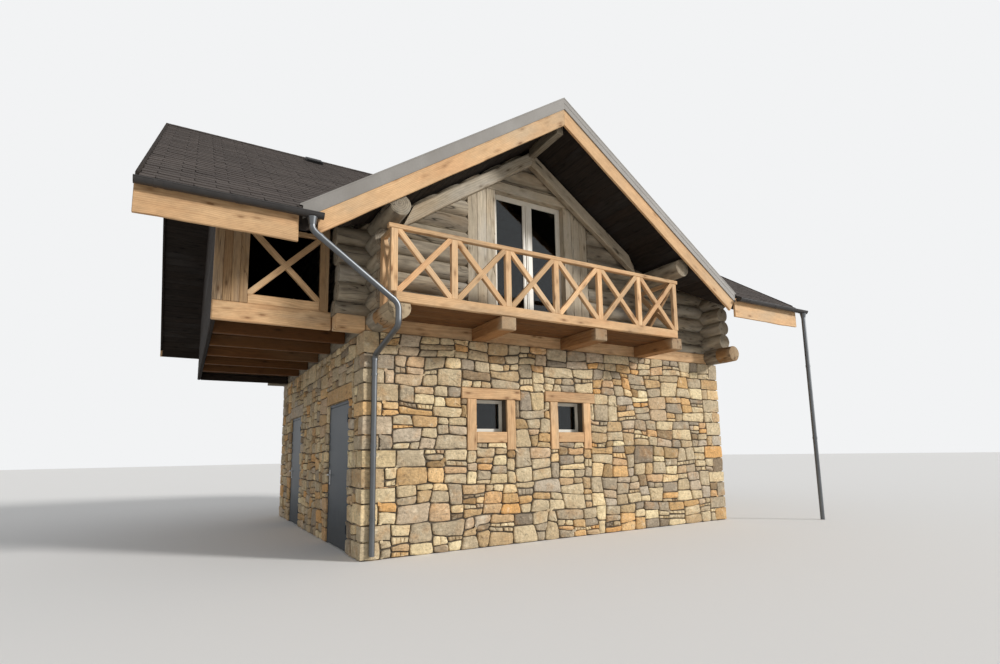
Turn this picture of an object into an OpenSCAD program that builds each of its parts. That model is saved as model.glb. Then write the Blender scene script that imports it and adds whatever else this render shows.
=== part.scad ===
// Alpine chalet: a rubble stone storey, a log storey with a balcony and a boarded bay, and a
// gable roof whose front slope carries a cross gable. The origin is the middle of the stone
// storey's footprint at ground level. X runs along the front, Y runs back, Z is up.

/* [Stone storey] */
// Length of the stone storey along the front
stone_l = 7080; // [6800:10:7600]
// Depth of the stone storey
stone_w = 6660; // [6400:10:7400]
// Height of the stone storey
stone_h = 3020; // [2900:10:3200]
// Thickness of the stone walls
stone_t = 450; // [350:10:550]
// Thickness of the ground floor slab
slab_t = 120; // [80:5:200]

/* [Service doors] */
// Height of the two doorways in the left wall
door_h = 2150; // [2000:10:2300]
// Front edge of the near doorway, from the front face of the stone
near_door_y = 690; // [600:10:900]
// Width of the near doorway
near_door_w = 1230; // [1000:10:1400]
// Front edge of the far doorway, from the front face of the stone
far_door_y = 4310; // [3900:10:4500]
// Width of the far doorway
far_door_w = 1080; // [900:10:1200]
// Face width of a steel door frame
door_frame_w = 45; // [30:1:70]
// Depth of a steel door frame in the wall
door_frame_d = 90; // [80:1:140]
// Thickness of a door leaf
leaf_t = 50; // [40:1:60]
// Gap between a leaf and its frame
leaf_gap = 8; // [6:1:12]
// Gap under a leaf
leaf_foot_gap = 15; // [8:1:30]
// Height of the lever handles above the ground
handle_z = 1050; // [900:10:1150]

/* [Small windows] */
// Left edge of the first small window, from the left face of the stone
win_x = 1665; // [1200:5:2200]
// Width of a small window
win_w = 520; // [400:10:700]
// Distance from one small window to the next
win_pitch = 1480; // [1200:10:2200]
// Height of a small window's lower edge
win_z = 1660; // [1300:10:1800]
// Height of a small window
win_h = 485; // [400:5:600]
// Width of the timber jambs around a small window
jamb_w = 150; // [90:5:200]
// Height of the timber lintel over a small window
lintel_h = 165; // [120:5:200]
// How far the lintel runs past the jambs
lintel_out = 95; // [40:5:150]
// Height of the timber sill under a small window
win_sill_h = 160; // [100:5:200]
// How far the jambs run below the sill
jamb_drop = 110; // [40:5:160]
// How far the timber surround stands out from the stone
surround_out = 35; // [20:1:60]

/* [Log walls] */
// Diameter of a wall log
log_d = 300; // [285:5:320]
// Height of one log course
course_h = 265; // [250:1:275]
// How far the crossing log ends stand out past the stone
log_end_out = 390; // [250:10:500]
// How far the left wall's lowest log stands out, under the balcony's rim beam
console_out = 905; // [850:5:910]
// How far the right wall's lowest log stands out
right_console_out = 600; // [450:10:800]
// How far the wall plate's log ends stand out under the gable
plate_out = 930; // [800:10:960]
// Height of the squared front sill beam
front_sill_h = 200; // [140:5:240]
// Thickness of the boarded log storey floor
floor_t = 180; // [120:5:240]

/* [French door] */
// Left edge of the French door, from the left face of the stone
french_x = 2076; // [1950:1:2150]
// Width of the French door
french_w = 1361; // [1200:1:1500]
// Distance of the French door's head below the cross gable's ridge
french_down = 1135; // [1120:5:1400]
// Width of the plank posts beside the French door
plank_w = 498; // [300:1:520]
// Thickness of the plank posts and the lintel
plank_t = 230; // [150:5:280]
// Height of the lintel over the French door
french_lintel_h = 160; // [120:5:200]
// Width of the French door's frame members
french_frame_w = 75; // [50:1:100]

/* [Roof] */
// Pitch of every roof slope, in degrees
roof_pitch = 34.5; // [33:0.5:36]
// Height of the shingles over the front fascia's face, above the stone
eave_rise = 1109; // [1080:1:1160]
// How far the eaves stand out from the stone, front and rear
eave_out = 1050; // [1020:10:1200]
// How far the roof runs past the stone on the left
roof_left_out = 2604; // [2400:1:2900]
// How far the roof runs past the stone on the right
roof_right_out = 1220; // [1100:1:1600]
// Thickness of a roof slope, square to the slope
roof_t = 250; // [220:5:270]
// Thickness of the shingle edge that overhangs the fascia, measured plumb
shingle_edge = 60; // [45:5:80]
// How far the shingles overhang the fascia
shingle_over = 45; // [20:5:60]
// Middle of the cross gable, from the left face of the stone
cross_x = 2700; // [2600:10:2800]
// Height of the cross gable's ridge above the stone
cross_rise = 3680; // [3600:10:3720]

/* [Boards and gutters] */
// Height of the fascia below the shingle edge
fascia_h = 355; // [280:5:380]
// Thickness of the fascias and bargeboards
board_t = 40; // [25:1:50]
// Height of a bargeboard, square to its slope
barge_h = 343; // [300:1:370]
// Height of the metal verge trim, square to its slope
trim_h = 160; // [120:5:180]
// How far the metal trim stands above the shingles
trim_up = 30; // [10:1:50]
// Thickness of the metal trim as folded
trim_t = 12; // [6:1:20]
// Diameter of the half-round gutters
gutter_d = 126; // [100:1:150]
// Wall of the gutters and pipes
gutter_t = 5; // [4:1:10]
// Gap between the lower edge of the shingles and the gutter's rim
gutter_gap = 2; // [1:1:20]
// How far the front right gutter runs past the roof's end
gutter_past = 220; // [100:10:300]
// Diameter of the downpipes
pipe_d = 80; // [60:1:100]
// Distance of the corner downpipes from the left face of the stone
pipe_in = 115; // [90:5:180]

/* [Balcony] */
// How far the balcony railing's middle stands out from the stone
rail_out = 890; // [800:10:920]
// Left post of the balcony railing, from the left face of the stone
rail_x = 80; // [60:1:160]
// Number of railing bays
rail_bays = 6; // [5:1:6]
// Width of one railing bay
rail_bay = 824; // [700:1:850]
// Height of the squared corbels
corbel_h = 187; // [150:1:230]
// Width of the squared corbels
corbel_w = 240; // [150:5:280]
// Height of the balcony's rim beam
rim_h = 132; // [100:1:180]
// Height of the railing above the rim beam
rail_h = 872; // [820:1:1000]
// Width of the railing posts
post_w = 90; // [60:5:110]
// Width of the crossed braces
brace_w = 75; // [50:5:90]
// Thickness of the railing timbers
rail_t = 60; // [45:5:80]

/* [Bay] */
// How far the bay stands out from the stone on the left
bay_out = 1840; // [1600:10:2000]
// How far the bay's front stands back from the stone's front face
bay_inset = 260; // [200:10:500]
// Height of the bay's front rim beam
bay_rim_h = 245; // [200:5:280]
// Height of the bay's opening above its bottom rail
bay_open_h = 890; // [800:10:1000]
// Gap between the bay's rim beam and the log corner
bay_gap = 397; // [392:1:500]
// Height of the bay's bottom rail
bay_rail_h = 125; // [90:5:150]
// Width of the boarded corner post
bay_post_w = 395; // [250:5:420]
// Width of the slim post
bay_slim_w = 115; // [90:5:150]
// Thickness of the bay's boarded walls
bay_wall_t = 60; // [40:5:90]
// Distance from one bay joist to the next
joist_pitch = 950; // [800:10:1000]
// Number of open bay joists
joists = 5; // [4:1:6]
// Height of a bay joist
joist_h = 170; // [140:5:200]
// Width of a bay joist
joist_w = 90; // [60:5:120]

/* [Hidden] */
$fn = 48;

stone_colour = "#9c8566";
honey = "#c58a4f";
weathered = "#8b8478";
dark_boards = "#3d3530";
shingle = "#453d39";
steel_blue = "#56626d";
anthracite = "#35363a";
trim_grey = "#a9a5a0";
pane = "#8fa3ad";
cream = "#e3dccd";

// Faces of the stone storey
x0 = -stone_l / 2;
x1 = stone_l / 2;
y0 = -stone_w / 2;
y1 = stone_w / 2;

// Roof planes: heights of the shingles and of the boarding under them
eave_z = stone_h + eave_rise;
cross_top = stone_h + cross_rise;
french_top = cross_top - french_down;
slope = tan(roof_pitch);
roof_drop = roof_t / cos(roof_pitch);
fascia_y = y0 - eave_out;
roof_xl = x0 - roof_left_out;
roof_xr = x1 + roof_right_out;
over_y = fascia_y - shingle_over;
// Clearance between a roof slope's underside and what it covers, and along the valleys
roof_play = 0.4;
ridge_z = eave_z - fascia_y * slope;
function main_z(y) = ridge_z - abs(y) * slope;
gable_x = x0 + cross_x;
function cross_z(x) = cross_top - abs(x - gable_x) * slope;
// Where the cross gable's ridge runs into the main slope
valley_y = -(ridge_z - cross_top) / slope;
function valley_x(y) = valley_y - y;

// Log courses: the wall plate lies snug under the cross gable's boarding
log_r = log_d / 2;
left_x = x0 + log_r;
right_x = x1 - log_r;
front_y = y0 + log_r;
rear_y = y1 - log_r;
seat = 12;
plate_z = cross_z(left_x) - roof_drop - log_r / cos(roof_pitch) + seat;
courses_below = floor((plate_z - stone_h) / course_h);
lowest_z = plate_z - courses_below * course_h;
courses_to_ridge = ceil((ridge_z - roof_drop - lowest_z + log_r) / course_h);
function side_z(k) = lowest_z + k * course_h;
function front_z(k) = lowest_z + (k + 0.5) * course_h;
front_courses = floor((cross_top - roof_drop - lowest_z) / course_h);
purlin_x = 2 * gable_x - left_x;
sill_top = stone_h + front_sill_h;

// French door and balcony levels
french_xl = x0 + french_x;
french_xr = french_xl + french_w;
deck_z = stone_h + corbel_h;
rim_top = deck_z + rim_h;
deck_t = 90;
rail_y = y0 - rail_out;
rail_xl = x0 + rail_x;
rail_xr = rail_xl + rail_bays * rail_bay;
rail_top = rim_top + rail_h;
top_rail_t = 60;
rim_front = rail_y - rail_t / 2 - 10;
// Clearance between timbers that pass each other
play = 5;

// Bay levels
bay_x = x0 - bay_out;
bay_y = y0 + bay_inset;
bay_yb = y1 - log_d - play;
slim_x = x0 - bay_gap - 47 - bay_slim_w;
bay_z = stone_h + 20;
bay_front_t = 80;
bay_floor_t = 60;
joist_y = bay_y + 870;
bay_rail_top = bay_z + bay_rim_h + bay_rail_h + bay_open_h;

// Hinges of the service doors
hinge_r = 11;
pin_r = 6;
pin_play = 0.05;
hinge_out = 16;
hinge_h = 60;
hinge_low = 260;
hinge_high = door_h - 330;

far = 20000;

// Block from its lowest to its highest corner
module span(a, b) translate(a) cube(b - a);

// Round log along X or along Y
module log_x(xa, xb, y, z) translate([xa, y, z]) rotate([0, 90, 0]) cylinder(h = xb - xa, r = log_r);
module log_y(ya, yb, x, z) translate([x, yb, z]) rotate([90, 0, 0]) cylinder(h = yb - ya, r = log_r);

// Everything under the boarding of the main roof and of the cross gable
module under_main()
    rotate([90, 0, 90]) translate([0, 0, -far / 2]) linear_extrude(far)
        polygon([[-far, -far], [far, -far], [far, main_z(far) - roof_drop - roof_play],
            [0, ridge_z - roof_drop - roof_play], [-far, main_z(-far) - roof_drop - roof_play]]);
module under_cross() {
    half = 3400;
    drop = roof_drop + roof_play;
    translate([0, valley_y, 0]) rotate([90, 0, 0]) linear_extrude(far / 2)
        polygon([[gable_x - half, -far], [gable_x + half, -far], [gable_x + half, cross_z(gable_x + half) - drop],
            [gable_x, cross_top - drop], [gable_x - half, cross_z(gable_x - half) - drop]]);
}
module under_roof() {
    under_main();
    under_cross();
}

module stone_front_wall() color(stone_colour)
    difference() {
        span([x0, y0, 0], [x1, y0 + stone_t, stone_h]);
        small_windows(y0 - 1, y0 + stone_t + 1);
    }

// Openings of the two small windows between two planes
module small_windows(ya, yb)
    for (i = [0, 1])
        span([x0 + win_x + i * win_pitch, ya, win_z],
            [x0 + win_x + i * win_pitch + win_w, yb, win_z + win_h]);

module stone_left_piers() color(stone_colour) {
    side_a = y0 + stone_t;
    side_b = y1 - stone_t;
    for (s = [[side_a, y0 + near_door_y],
              [y0 + near_door_y + near_door_w, y0 + far_door_y],
              [y0 + far_door_y + far_door_w, side_b]])
        span([x0, s[0], 0], [x0 + stone_t, s[1], door_h]);
}

module stone_left_lintel() color(stone_colour)
    span([x0, y0 + stone_t, door_h], [x0 + stone_t, y1 - stone_t, stone_h]);

module stone_right_wall() color(stone_colour)
    span([x1 - stone_t, y0 + stone_t, 0], [x1, y1 - stone_t, stone_h]);

module stone_rear_wall() color(stone_colour)
    difference() {
        span([x0, y1 - stone_t, 0], [x1, y1, stone_h]);
        mirror([0, 1, 0]) small_windows(y0 - 1, y0 + stone_t + 1);
    }

module ground_floor() color("#8d8a84")
    span([x0 + stone_t, y0 + stone_t, 0], [x1 - stone_t, y1 - stone_t, slab_t]);

// Timber surround of one small window, on the front wall
module surround(x) {
    top = win_z + win_h;
    span([x - jamb_w - lintel_out, y0 - surround_out, top],
        [x + win_w + jamb_w + lintel_out, y0, top + lintel_h]);
    for (j = [x - jamb_w, x + win_w])
        span([j, y0 - surround_out, win_z - win_sill_h - jamb_drop], [j + jamb_w, y0, top]);
    span([x, y0 - surround_out, win_z - win_sill_h], [x + win_w, y0, win_z]);
}

module front_and_rear() {
    children();
    mirror([0, 1, 0]) children();
}

module window_surrounds() color(honey) front_and_rear()
    for (i = [0, 1]) surround(x0 + win_x + i * win_pitch);

// Sash ring of a window that faces the front
sash_w = 50;
sash_t = 60;
sash_in = 120;
module sash(x, z, w, h, y)
    difference() {
        span([x, y, z], [x + w, y + sash_t, z + h]);
        span([x + sash_w, y - 1, z + sash_w], [x + w - sash_w, y + sash_t + 1, z + h - sash_w]);
    }

module window_frames() color(cream) front_and_rear()
    for (i = [0, 1]) sash(x0 + win_x + i * win_pitch, win_z, win_w, win_h, y0 + sash_in);

glass_t = 24;
module window_glass() color(pane) front_and_rear()
    for (i = [0, 1])
        span([x0 + win_x + i * win_pitch + sash_w, y0 + sash_in + (sash_t - glass_t) / 2, win_z + sash_w],
            [x0 + win_x + i * win_pitch + win_w - sash_w,
                y0 + sash_in + (sash_t + glass_t) / 2, win_z + win_h - sash_w]);

// Steel frame of one doorway, with its stop and its two hinge pins
module door_frame(y, w) {
    stop = 15;
    stop_x = x0 + leaf_t + 6;
    difference() {
        span([x0, y, 0], [x0 + door_frame_d, y + w, door_h]);
        span([x0 - 1, y + door_frame_w, -1], [stop_x, y + w - door_frame_w, door_h - door_frame_w]);
        span([x0 - 1, y + door_frame_w + stop, -1],
            [x0 + door_frame_d + 1, y + w - door_frame_w - stop, door_h - door_frame_w - stop]);
    }
    for (z = [hinge_low, hinge_high])
        translate([x0 - hinge_out, y + door_frame_w, z]) {
            cylinder(h = hinge_h, r = hinge_r);
            cylinder(h = 2 * hinge_h, r = pin_r);
            translate([0, -hinge_r, 0]) cube([hinge_out, hinge_r, hinge_h]);
        }
}

module door_frames() color(steel_blue) {
    door_frame(y0 + near_door_y, near_door_w);
    door_frame(y0 + far_door_y, far_door_w);
}

// Door leaf with its two hinge knuckles, closed
module leaf(y, w) {
    ya = y + door_frame_w + leaf_gap;
    yb = y + w - door_frame_w - leaf_gap;
    top = door_h - door_frame_w - leaf_gap;
    span([x0, ya, leaf_foot_gap], [x0 + leaf_t, yb, top]);
    for (z = [hinge_low, hinge_high])
        difference() {
            translate([x0 - hinge_out, y + door_frame_w, z + hinge_h + 1]) {
                cylinder(h = hinge_h - 2, r = hinge_r);
                translate([0, 3, 0]) cube([hinge_out + 2, leaf_gap + 12, hinge_h - 2]);
            }
            translate([x0 - hinge_out, y + door_frame_w, z + hinge_h])
                cylinder(h = hinge_h + 1, r = pin_r + pin_play);
        }
}

module near_door() color(steel_blue) leaf(y0 + near_door_y, near_door_w);
module far_door() color(steel_blue) leaf(y0 + far_door_y, far_door_w);

// Lever handles with their plates on both faces of a leaf
module lever(y, w) {
    plate_w = 42;
    plate_h = 230;
    plate_th = 9;
    lever_l = 125;
    lever_r = 10;
    reach = 48;
    ye = y + w - door_frame_w - leaf_gap - 70;
    for (side = [0, 1])
        translate([x0 + side * leaf_t, ye, handle_z]) mirror([side, 0, 0]) {
            span([-plate_th, -plate_w / 2, -150], [0, plate_w / 2, -150 + plate_h]);
            translate([-reach, 0, 0]) rotate([0, 90, 0]) cylinder(h = reach - 4, r = lever_r);
            translate([-reach, 0, 0]) rotate([90, 0, 0]) cylinder(h = lever_l, r = lever_r);
            translate([-plate_th - 6, 0, -95]) rotate([0, 90, 0]) cylinder(h = 8, r = 13);
        }
}

module near_door_handle() color("silver") lever(y0 + near_door_y, near_door_w);
module far_door_handle() color("silver") lever(y0 + far_door_y, far_door_w);

module upper_floor() color(honey)
    span([x0 + log_d + play, y0 + log_d + play, stone_h],
        [x1 - log_d - play, y1 - log_d - play, stone_h + floor_t]);

module front_sill() color(honey)
    difference() {
        span([x0 - log_end_out, y0, stone_h], [right_x, y0 + log_d, sill_top]);
        for (x = [left_x, right_x]) log_y(y0 - 1, y0 + log_d + 1, x, lowest_z);
        span([x0 - far, bay_y - play, 0], [x0, far, far]);
    }

// One log of the front or the rear wall, notched over the side logs beneath it
module cross_log(y, k) {
    z = front_z(k);
    difference() {
        log_x(x0 - log_end_out, x1 + log_end_out, y, z);
        for (x = [left_x, purlin_x, right_x])
            if (x != purlin_x || k == courses_below)
                log_y(y - log_d, y + log_d, x, z - course_h / 2);
    }
}

module front_logs() color(weathered)
    intersection() {
        difference() {
            for (k = [0 : front_courses - 1]) cross_log(front_y, k);
            span([french_xl - plank_w, y0 - 1, 0], [french_xr + plank_w, y0 + log_d + 1, french_top]);
            span([lintel_xl, y0 - 1, french_top - 1],
                [lintel_xr, y0 + log_d + 1, french_top + french_lintel_h]);
            span([x0 - far, y0 - 1, 0], [right_x, y0 + log_d + 1, sill_top]);
        }
        under_roof();
    }

module rear_logs() color(weathered)
    intersection() {
        for (k = [-1 : courses_below]) cross_log(rear_y, k);
        span([-far, 0, stone_h], [far, far, far]);
        under_main();
    }

// How far the log ends of a side wall stand out in front, course by course
function front_out(k, console) =
    k == 0 ? console : k < courses_below ? log_end_out : k == courses_below ? plate_out : 0;

// One log of a side wall, notched over the front and rear logs beneath it
module side_log(x, k, out) {
    z = side_z(k);
    difference() {
        log_y(y0 - out, y1 + log_end_out, x, z);
        for (y = [front_y, rear_y])
            if (k > 0) log_x(x - log_d, x + log_d, y, z - course_h / 2);
        if (k == 0) log_x(x - log_d, x + log_d, rear_y, z - course_h / 2);
    }
}

module side_logs(x, console)
    difference() {
        for (k = [0 : courses_to_ridge - 1]) side_log(x, k, front_out(k, console));
        span([x0 - 1, y0, 0], [x1 + 1, y1, stone_h]);
    }

// The left wall's lowest log is dressed flat where it carries the balcony
module left_logs() color(weathered) intersection() {
    difference() {
        side_logs(left_x, console_out);
        span([x0 - 1, y0 - far, deck_z], [x0 + log_d + 1, y0 - log_end_out - 1, deck_z + log_d]);
    }
    under_roof();
}

module right_logs() color(weathered) intersection() {
    side_logs(right_x, right_console_out);
    under_main();
}

// Plank posts and lintel that frame the French door
lintel_xl = french_xl - 246;
lintel_xr = french_xr + 313;
plank_y = y0 + (log_d - plank_t) / 2;
module french_door_posts() color(weathered) intersection() {
    union()
        for (x = [french_xl - plank_w, french_xr])
            span([x, plank_y, sill_top], [x + plank_w, plank_y + plank_t, french_top]);
    under_roof();
}

module french_door_lintel() color(weathered) intersection() {
    span([lintel_xl, plank_y, french_top],
        [lintel_xr, plank_y + plank_t, french_top + french_lintel_h]);
    under_roof();
}

module french_door_frame() color(cream)
    difference() {
        y = y0 + log_r;
        mid = (french_xl + french_xr) / 2;
        f = french_frame_w;
        span([french_xl, y, sill_top], [french_xr, y + sash_t, french_top]);
        for (s = [[french_xl + f, mid - f / 2], [mid + f / 2, french_xr - f]])
            span([s[0], y - 1, rim_top + 2 * f], [s[1], y + sash_t + 1, french_top - f]);
    }

module french_door_glass() color(pane) {
    y = y0 + log_r + (sash_t - glass_t) / 2;
    mid = (french_xl + french_xr) / 2;
    f = french_frame_w;
    for (s = [[french_xl + f, mid - f / 2], [mid + f / 2, french_xr - f]])
        span([s[0], y, rim_top + 2 * f], [s[1], y + glass_t, french_top - f]);
}

// Pair of peeled rafters in front of the gable wall, with slanted feet
rafter_d = 200;
rafter_t = 130;
rafter_gap = 70;
rafter_foot = 2060;
rafter_cut = 170;
module gable_rafters() color(weathered)
    translate([0, y0 - 2, 0]) rotate([90, 0, 0]) linear_extrude(rafter_t)
        for (side = [-1, 1]) {
            top = cross_top - roof_drop - rafter_gap;
            low = top - rafter_d / cos(roof_pitch);
            reach = rafter_foot + rafter_cut;
            polygon([[gable_x, low], [gable_x, top], [gable_x + side * rafter_foot, top - rafter_foot * slope],
                [gable_x + side * reach, low - reach * slope]]);
        }

// Right plate log through the house, and the squared ridge beam of the cross gable
module purlins() color(weathered) {
    intersection() {
        difference() {
            log_y(y0 - plate_out, y1 + log_end_out, purlin_x, plate_z);
            for (y = [front_y, rear_y])
                log_x(purlin_x - log_d, purlin_x + log_d, y, plate_z - course_h / 2);
        }
        under_roof();
    }
    intersection() {
        span([gable_x - 60, y0 - plate_out, cross_top - roof_drop - 190],
            [gable_x + 60, y0 - rafter_t - play, cross_top]);
        under_cross();
    }
}

// Section of the front main slope, from the eave to the ridge
module slope_section()
    polygon([[over_y, main_z(over_y) - shingle_edge], [over_y, main_z(over_y)], [0, ridge_z],
        [0, ridge_z - roof_drop], [fascia_y + board_t, main_z(fascia_y + board_t) - roof_drop],
        [fascia_y + board_t, main_z(fascia_y + board_t) - shingle_edge]]);
module main_slope(xa, xb)
    translate([xa, 0, 0]) rotate([90, 0, 90]) linear_extrude(xb - xa) slope_section();

// Plan of the front slope on the left of the cross gable
module roof_front_left() color(shingle) intersection() {
    main_slope(roof_xl + board_t, gable_x);
    linear_extrude(far) polygon([[roof_xl, over_y], [gable_x - valley_x(over_y), over_y],
        [gable_x, valley_y], [gable_x, 0], [roof_xl, 0]]);
}

module roof_front_right() color(shingle) intersection() {
    main_slope(gable_x, roof_xr - board_t);
    linear_extrude(far) polygon([[roof_xr, over_y], [gable_x + valley_x(over_y), over_y],
        [gable_x, valley_y], [gable_x, 0], [roof_xr, 0]]);
}

module roof_rear() color(shingle)
    mirror([0, 1, 0]) main_slope(roof_xl + board_t, roof_xr - board_t);

// One slope of the cross gable, cut off along its valley
module cross_slope(side) intersection() {
    ya = fascia_y + board_t;
    reach = valley_x(ya);
    translate([gable_x, ya, 0]) mirror([side < 0 ? 1 : 0, 0, 0]) rotate([90, 0, 0])
        translate([0, 0, ya - valley_y]) linear_extrude(valley_y - ya)
        polygon([[0, cross_top - roof_drop], [0, cross_top], [reach, cross_top - reach * slope],
            [reach, cross_top - reach * slope - roof_drop]]);
    linear_extrude(far)
        polygon([[gable_x, ya], [gable_x + side * (reach - roof_play), ya],
            [gable_x, valley_y - roof_play]]);
}

module cross_roof_left() color(shingle) cross_slope(-1);
module cross_roof_right() color(shingle) cross_slope(1);

// Fascias: the front ones end at the feet of the bargeboards
foot_left = gable_x - valley_x(over_y) + 13;
foot_right = gable_x + valley_x(over_y) - 55;
board_foot_gap = 208;
fascia_top = eave_z - shingle_edge - roof_play;
module fascias() color(honey) {
    span([roof_xl, fascia_y, fascia_top - fascia_h], [foot_left, fascia_y + board_t, fascia_top]);
    span([foot_right, fascia_y, fascia_top - fascia_h], [roof_xr, fascia_y + board_t, fascia_top]);
    mirror([0, 1, 0])
        span([roof_xl, fascia_y, fascia_top - fascia_h], [roof_xr, fascia_y + board_t, fascia_top]);
}

// Height of a verge board, and its foot against the back of a fascia
verge_h = 285;
verge_y = -fascia_y - board_t;

// Slanted board in the cross gable's plane, from one depth below the shingles to another
mitre = 1;
module rake(side, upper, lower, reach)
    polygon([[side * mitre, cross_top - upper / cos(roof_pitch)],
        [side * reach, cross_top - upper / cos(roof_pitch) - reach * slope],
        [side * reach, cross_top - lower / cos(roof_pitch) - reach * slope],
        [side * mitre, cross_top - lower / cos(roof_pitch)]]);

module bargeboards() color(honey)
    translate([gable_x, fascia_y + board_t, 0]) rotate([90, 0, 0]) linear_extrude(board_t) {
        rake(-1, 0, barge_h, gable_x - foot_left - board_foot_gap);
        difference() {
            rake(1, 0, barge_h, foot_right - gable_x - 2);
            translate([valley_x(fascia_y + board_t) - play, fascia_top]) square(far);
        }
    }

// The metal trim laps over the main slope's shingles at its foot
module verge_trims() color(trim_grey)
    translate([gable_x, fascia_y, 0]) rotate([90, 0, 0]) linear_extrude(trim_t)
        for (side = [0, 1]) mirror([side, 0]) difference() {
            rake(1, -trim_up, trim_h - trim_up, valley_x(fascia_y) + trim_up);
            translate([valley_x(fascia_y) - play, 0]) square([far, eave_z + 1]);
        }

// Verge boards that cap the two ends of the main roof
module verge_boards() color(dark_boards)
    for (x = [roof_xl, roof_xr - board_t])
        translate([x, 0, 0]) rotate([90, 0, 90]) linear_extrude(board_t)
            for (side = [-1, 1])
                polygon([[side * mitre, ridge_z], [side * mitre, ridge_z - verge_h / cos(roof_pitch)],
                    [side * verge_y, main_z(verge_y) - verge_h / cos(roof_pitch)],
                    [side * verge_y, main_z(verge_y)]]);

// Half-round gutter along an eave, its rim just under the shingles' edge
gutter_y = fascia_y - trim_t - gutter_d / 2 - 2;
gutter_z = main_z(over_y) - shingle_edge - gutter_gap;
module gutter(xa, xb) {
    r = gutter_d / 2;
    translate([xa, gutter_y, gutter_z]) rotate([90, 0, 90])
        linear_extrude(xb - xa) difference() {
            circle(r);
            circle(r - gutter_t);
            translate([-gutter_d, 0]) square(2 * gutter_d);
        }
    for (x = [xa, xb - gutter_t])
        translate([x, gutter_y, gutter_z]) rotate([90, 0, 90])
            linear_extrude(gutter_t) difference() {
                circle(r);
                translate([-gutter_d, 0]) square(2 * gutter_d);
            }
}

gutter_left_end = foot_left + 250;
module gutters() color(anthracite) {
    gutter(roof_xl, gutter_left_end);
    gutter(foot_right + 20, roof_xr + gutter_past);
    mirror([0, 1, 0]) gutter(roof_xl, roof_xr);
}

// Straight length of pipe between two points, and a run of them with ball elbows
elbow_out = 3;
module pipe(a, b) {
    d = b - a;
    l = norm(d);
    translate(a) rotate([0, acos(d[2] / l), atan2(d[1], d[0])]) cylinder(h = l, r = pipe_d / 2);
}
module pipe_run(points) {
    for (i = [0 : len(points) - 2]) pipe(points[i], points[i + 1]);
    for (i = [1 : len(points) - 2]) translate(points[i]) sphere(r = pipe_d / 2 + elbow_out);
}

// Levels of the downpipes: under a gutter, under the lowest log ends, and at the foot
outlet_z = gutter_z - gutter_d / 2 - 2;
front_neck = 130;
rear_neck = outlet_z - fascia_top + fascia_h + pipe_d;
pipe_stand = pipe_d / 2 + 25;
pipe_pass = pipe_d / 2 + 20;
low_elbow = lowest_z - log_r - 110;
pipe_foot = 60;
right_pipe_x = roof_xr + gutter_past - 95;
rear_pipe_in = 900;

// Clips that hold a downpipe to the wall
clip_w = 16;
clip_h = 30;
low_clip = 500;
clip_pitch = 950;

// Downpipe from an outlet past what stands out of the front, back to the wall and down it
module corner_pipe(outlet_x, past_y, neck) {
    x = x0 + pipe_in;
    y = y0 - pipe_stand;
    pipe_run([[outlet_x, gutter_y, outlet_z], [outlet_x, gutter_y, outlet_z - neck],
        [x, past_y, low_elbow + 275], [x, past_y, low_elbow], [x, y, low_elbow - 210],
        [x, y, pipe_foot]]);
    for (i = [0 : 2]) span([x - clip_w / 2, y, low_clip + i * clip_pitch],
        [x + clip_w / 2, y0, low_clip + i * clip_pitch + clip_h]);
}

module downpipes() color("#7e7f82") {
    corner_pipe(foot_left + 130, rim_front - pipe_pass, front_neck);
    mirror([0, 1, 0]) corner_pipe(roof_xl + rear_pipe_in, y0 - log_end_out - pipe_pass, rear_neck);
    pipe_run([[right_pipe_x, gutter_y, outlet_z], [right_pipe_x, gutter_y, 0]]);
}

module balcony_corbels() color(honey)
    for (i = [2, 4, 6])
        span([rail_xl + i * rail_bay - corbel_w / 2, rail_y - 15, stone_h],
            [rail_xl + i * rail_bay + corbel_w / 2, y0, deck_z]);

module balcony_deck() color(honey)
    span([x0 + log_d + play, rail_y + rail_t / 2 + 2, deck_z],
        [rail_xr + 30, y0 - 2, deck_z + deck_t]);

module balcony_rim() color(honey)
    span([rail_xl + 20, rim_front, deck_z], [rail_xr + 15, rail_y + rail_t / 2, rim_top]);

// Flat timber between two points of a railing panel
module strut(a, b, w) {
    d = b - a;
    translate(a) rotate(atan2(d[1], d[0])) translate([0, -w / 2]) square([norm(d), w]);
}

// One railing bay in its own plane: crossed braces between two posts
module brace_bay(xa, xb, za, zb) intersection() {
    translate([xa, za]) square([xb - xa, zb - za]);
    union() {
        strut([xa - 30, za - 32], [xb + 30, zb + 32], brace_w);
        strut([xa - 30, zb + 32], [xb + 30, za - 32], brace_w);
    }
}

// Railing panel: posts, crossed braces and a top rail
module railing(length, bays, za, zb) {
    pitch = length / bays;
    for (i = [0 : bays]) translate([i * pitch - post_w / 2, za]) square([post_w, zb - top_rail_t - za]);
    for (i = [0 : bays - 1])
        brace_bay(i * pitch + post_w / 2 - 1, (i + 1) * pitch - post_w / 2 + 1, za, zb - top_rail_t + 1);
    translate([-post_w / 2 - 35, zb - top_rail_t]) square([length + post_w + 70, top_rail_t]);
}

module balcony_railing() color(honey)
    translate([rail_xl, rail_y + rail_t / 2, 0]) rotate([90, 0, 0])
        linear_extrude(rail_t) railing(rail_bays * rail_bay, rail_bays, rim_top, rail_top);

// Short railing from an end post back to the house
module return_panel(x, base, back) {
    front = rail_y + rail_t / 2 + 3;
    depth = back - front;
    translate([x, front, 0]) rotate([90, 0, 90]) linear_extrude(rail_t) {
        translate([0, rail_top - top_rail_t]) square([depth, top_rail_t]);
        translate([depth - post_w, base]) square([post_w, rail_top - base]);
        translate([0, base]) square([depth, 40]);
        brace_bay(0, depth - post_w + 1, base + 39, rail_top - top_rail_t + 1);
    }
}

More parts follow.
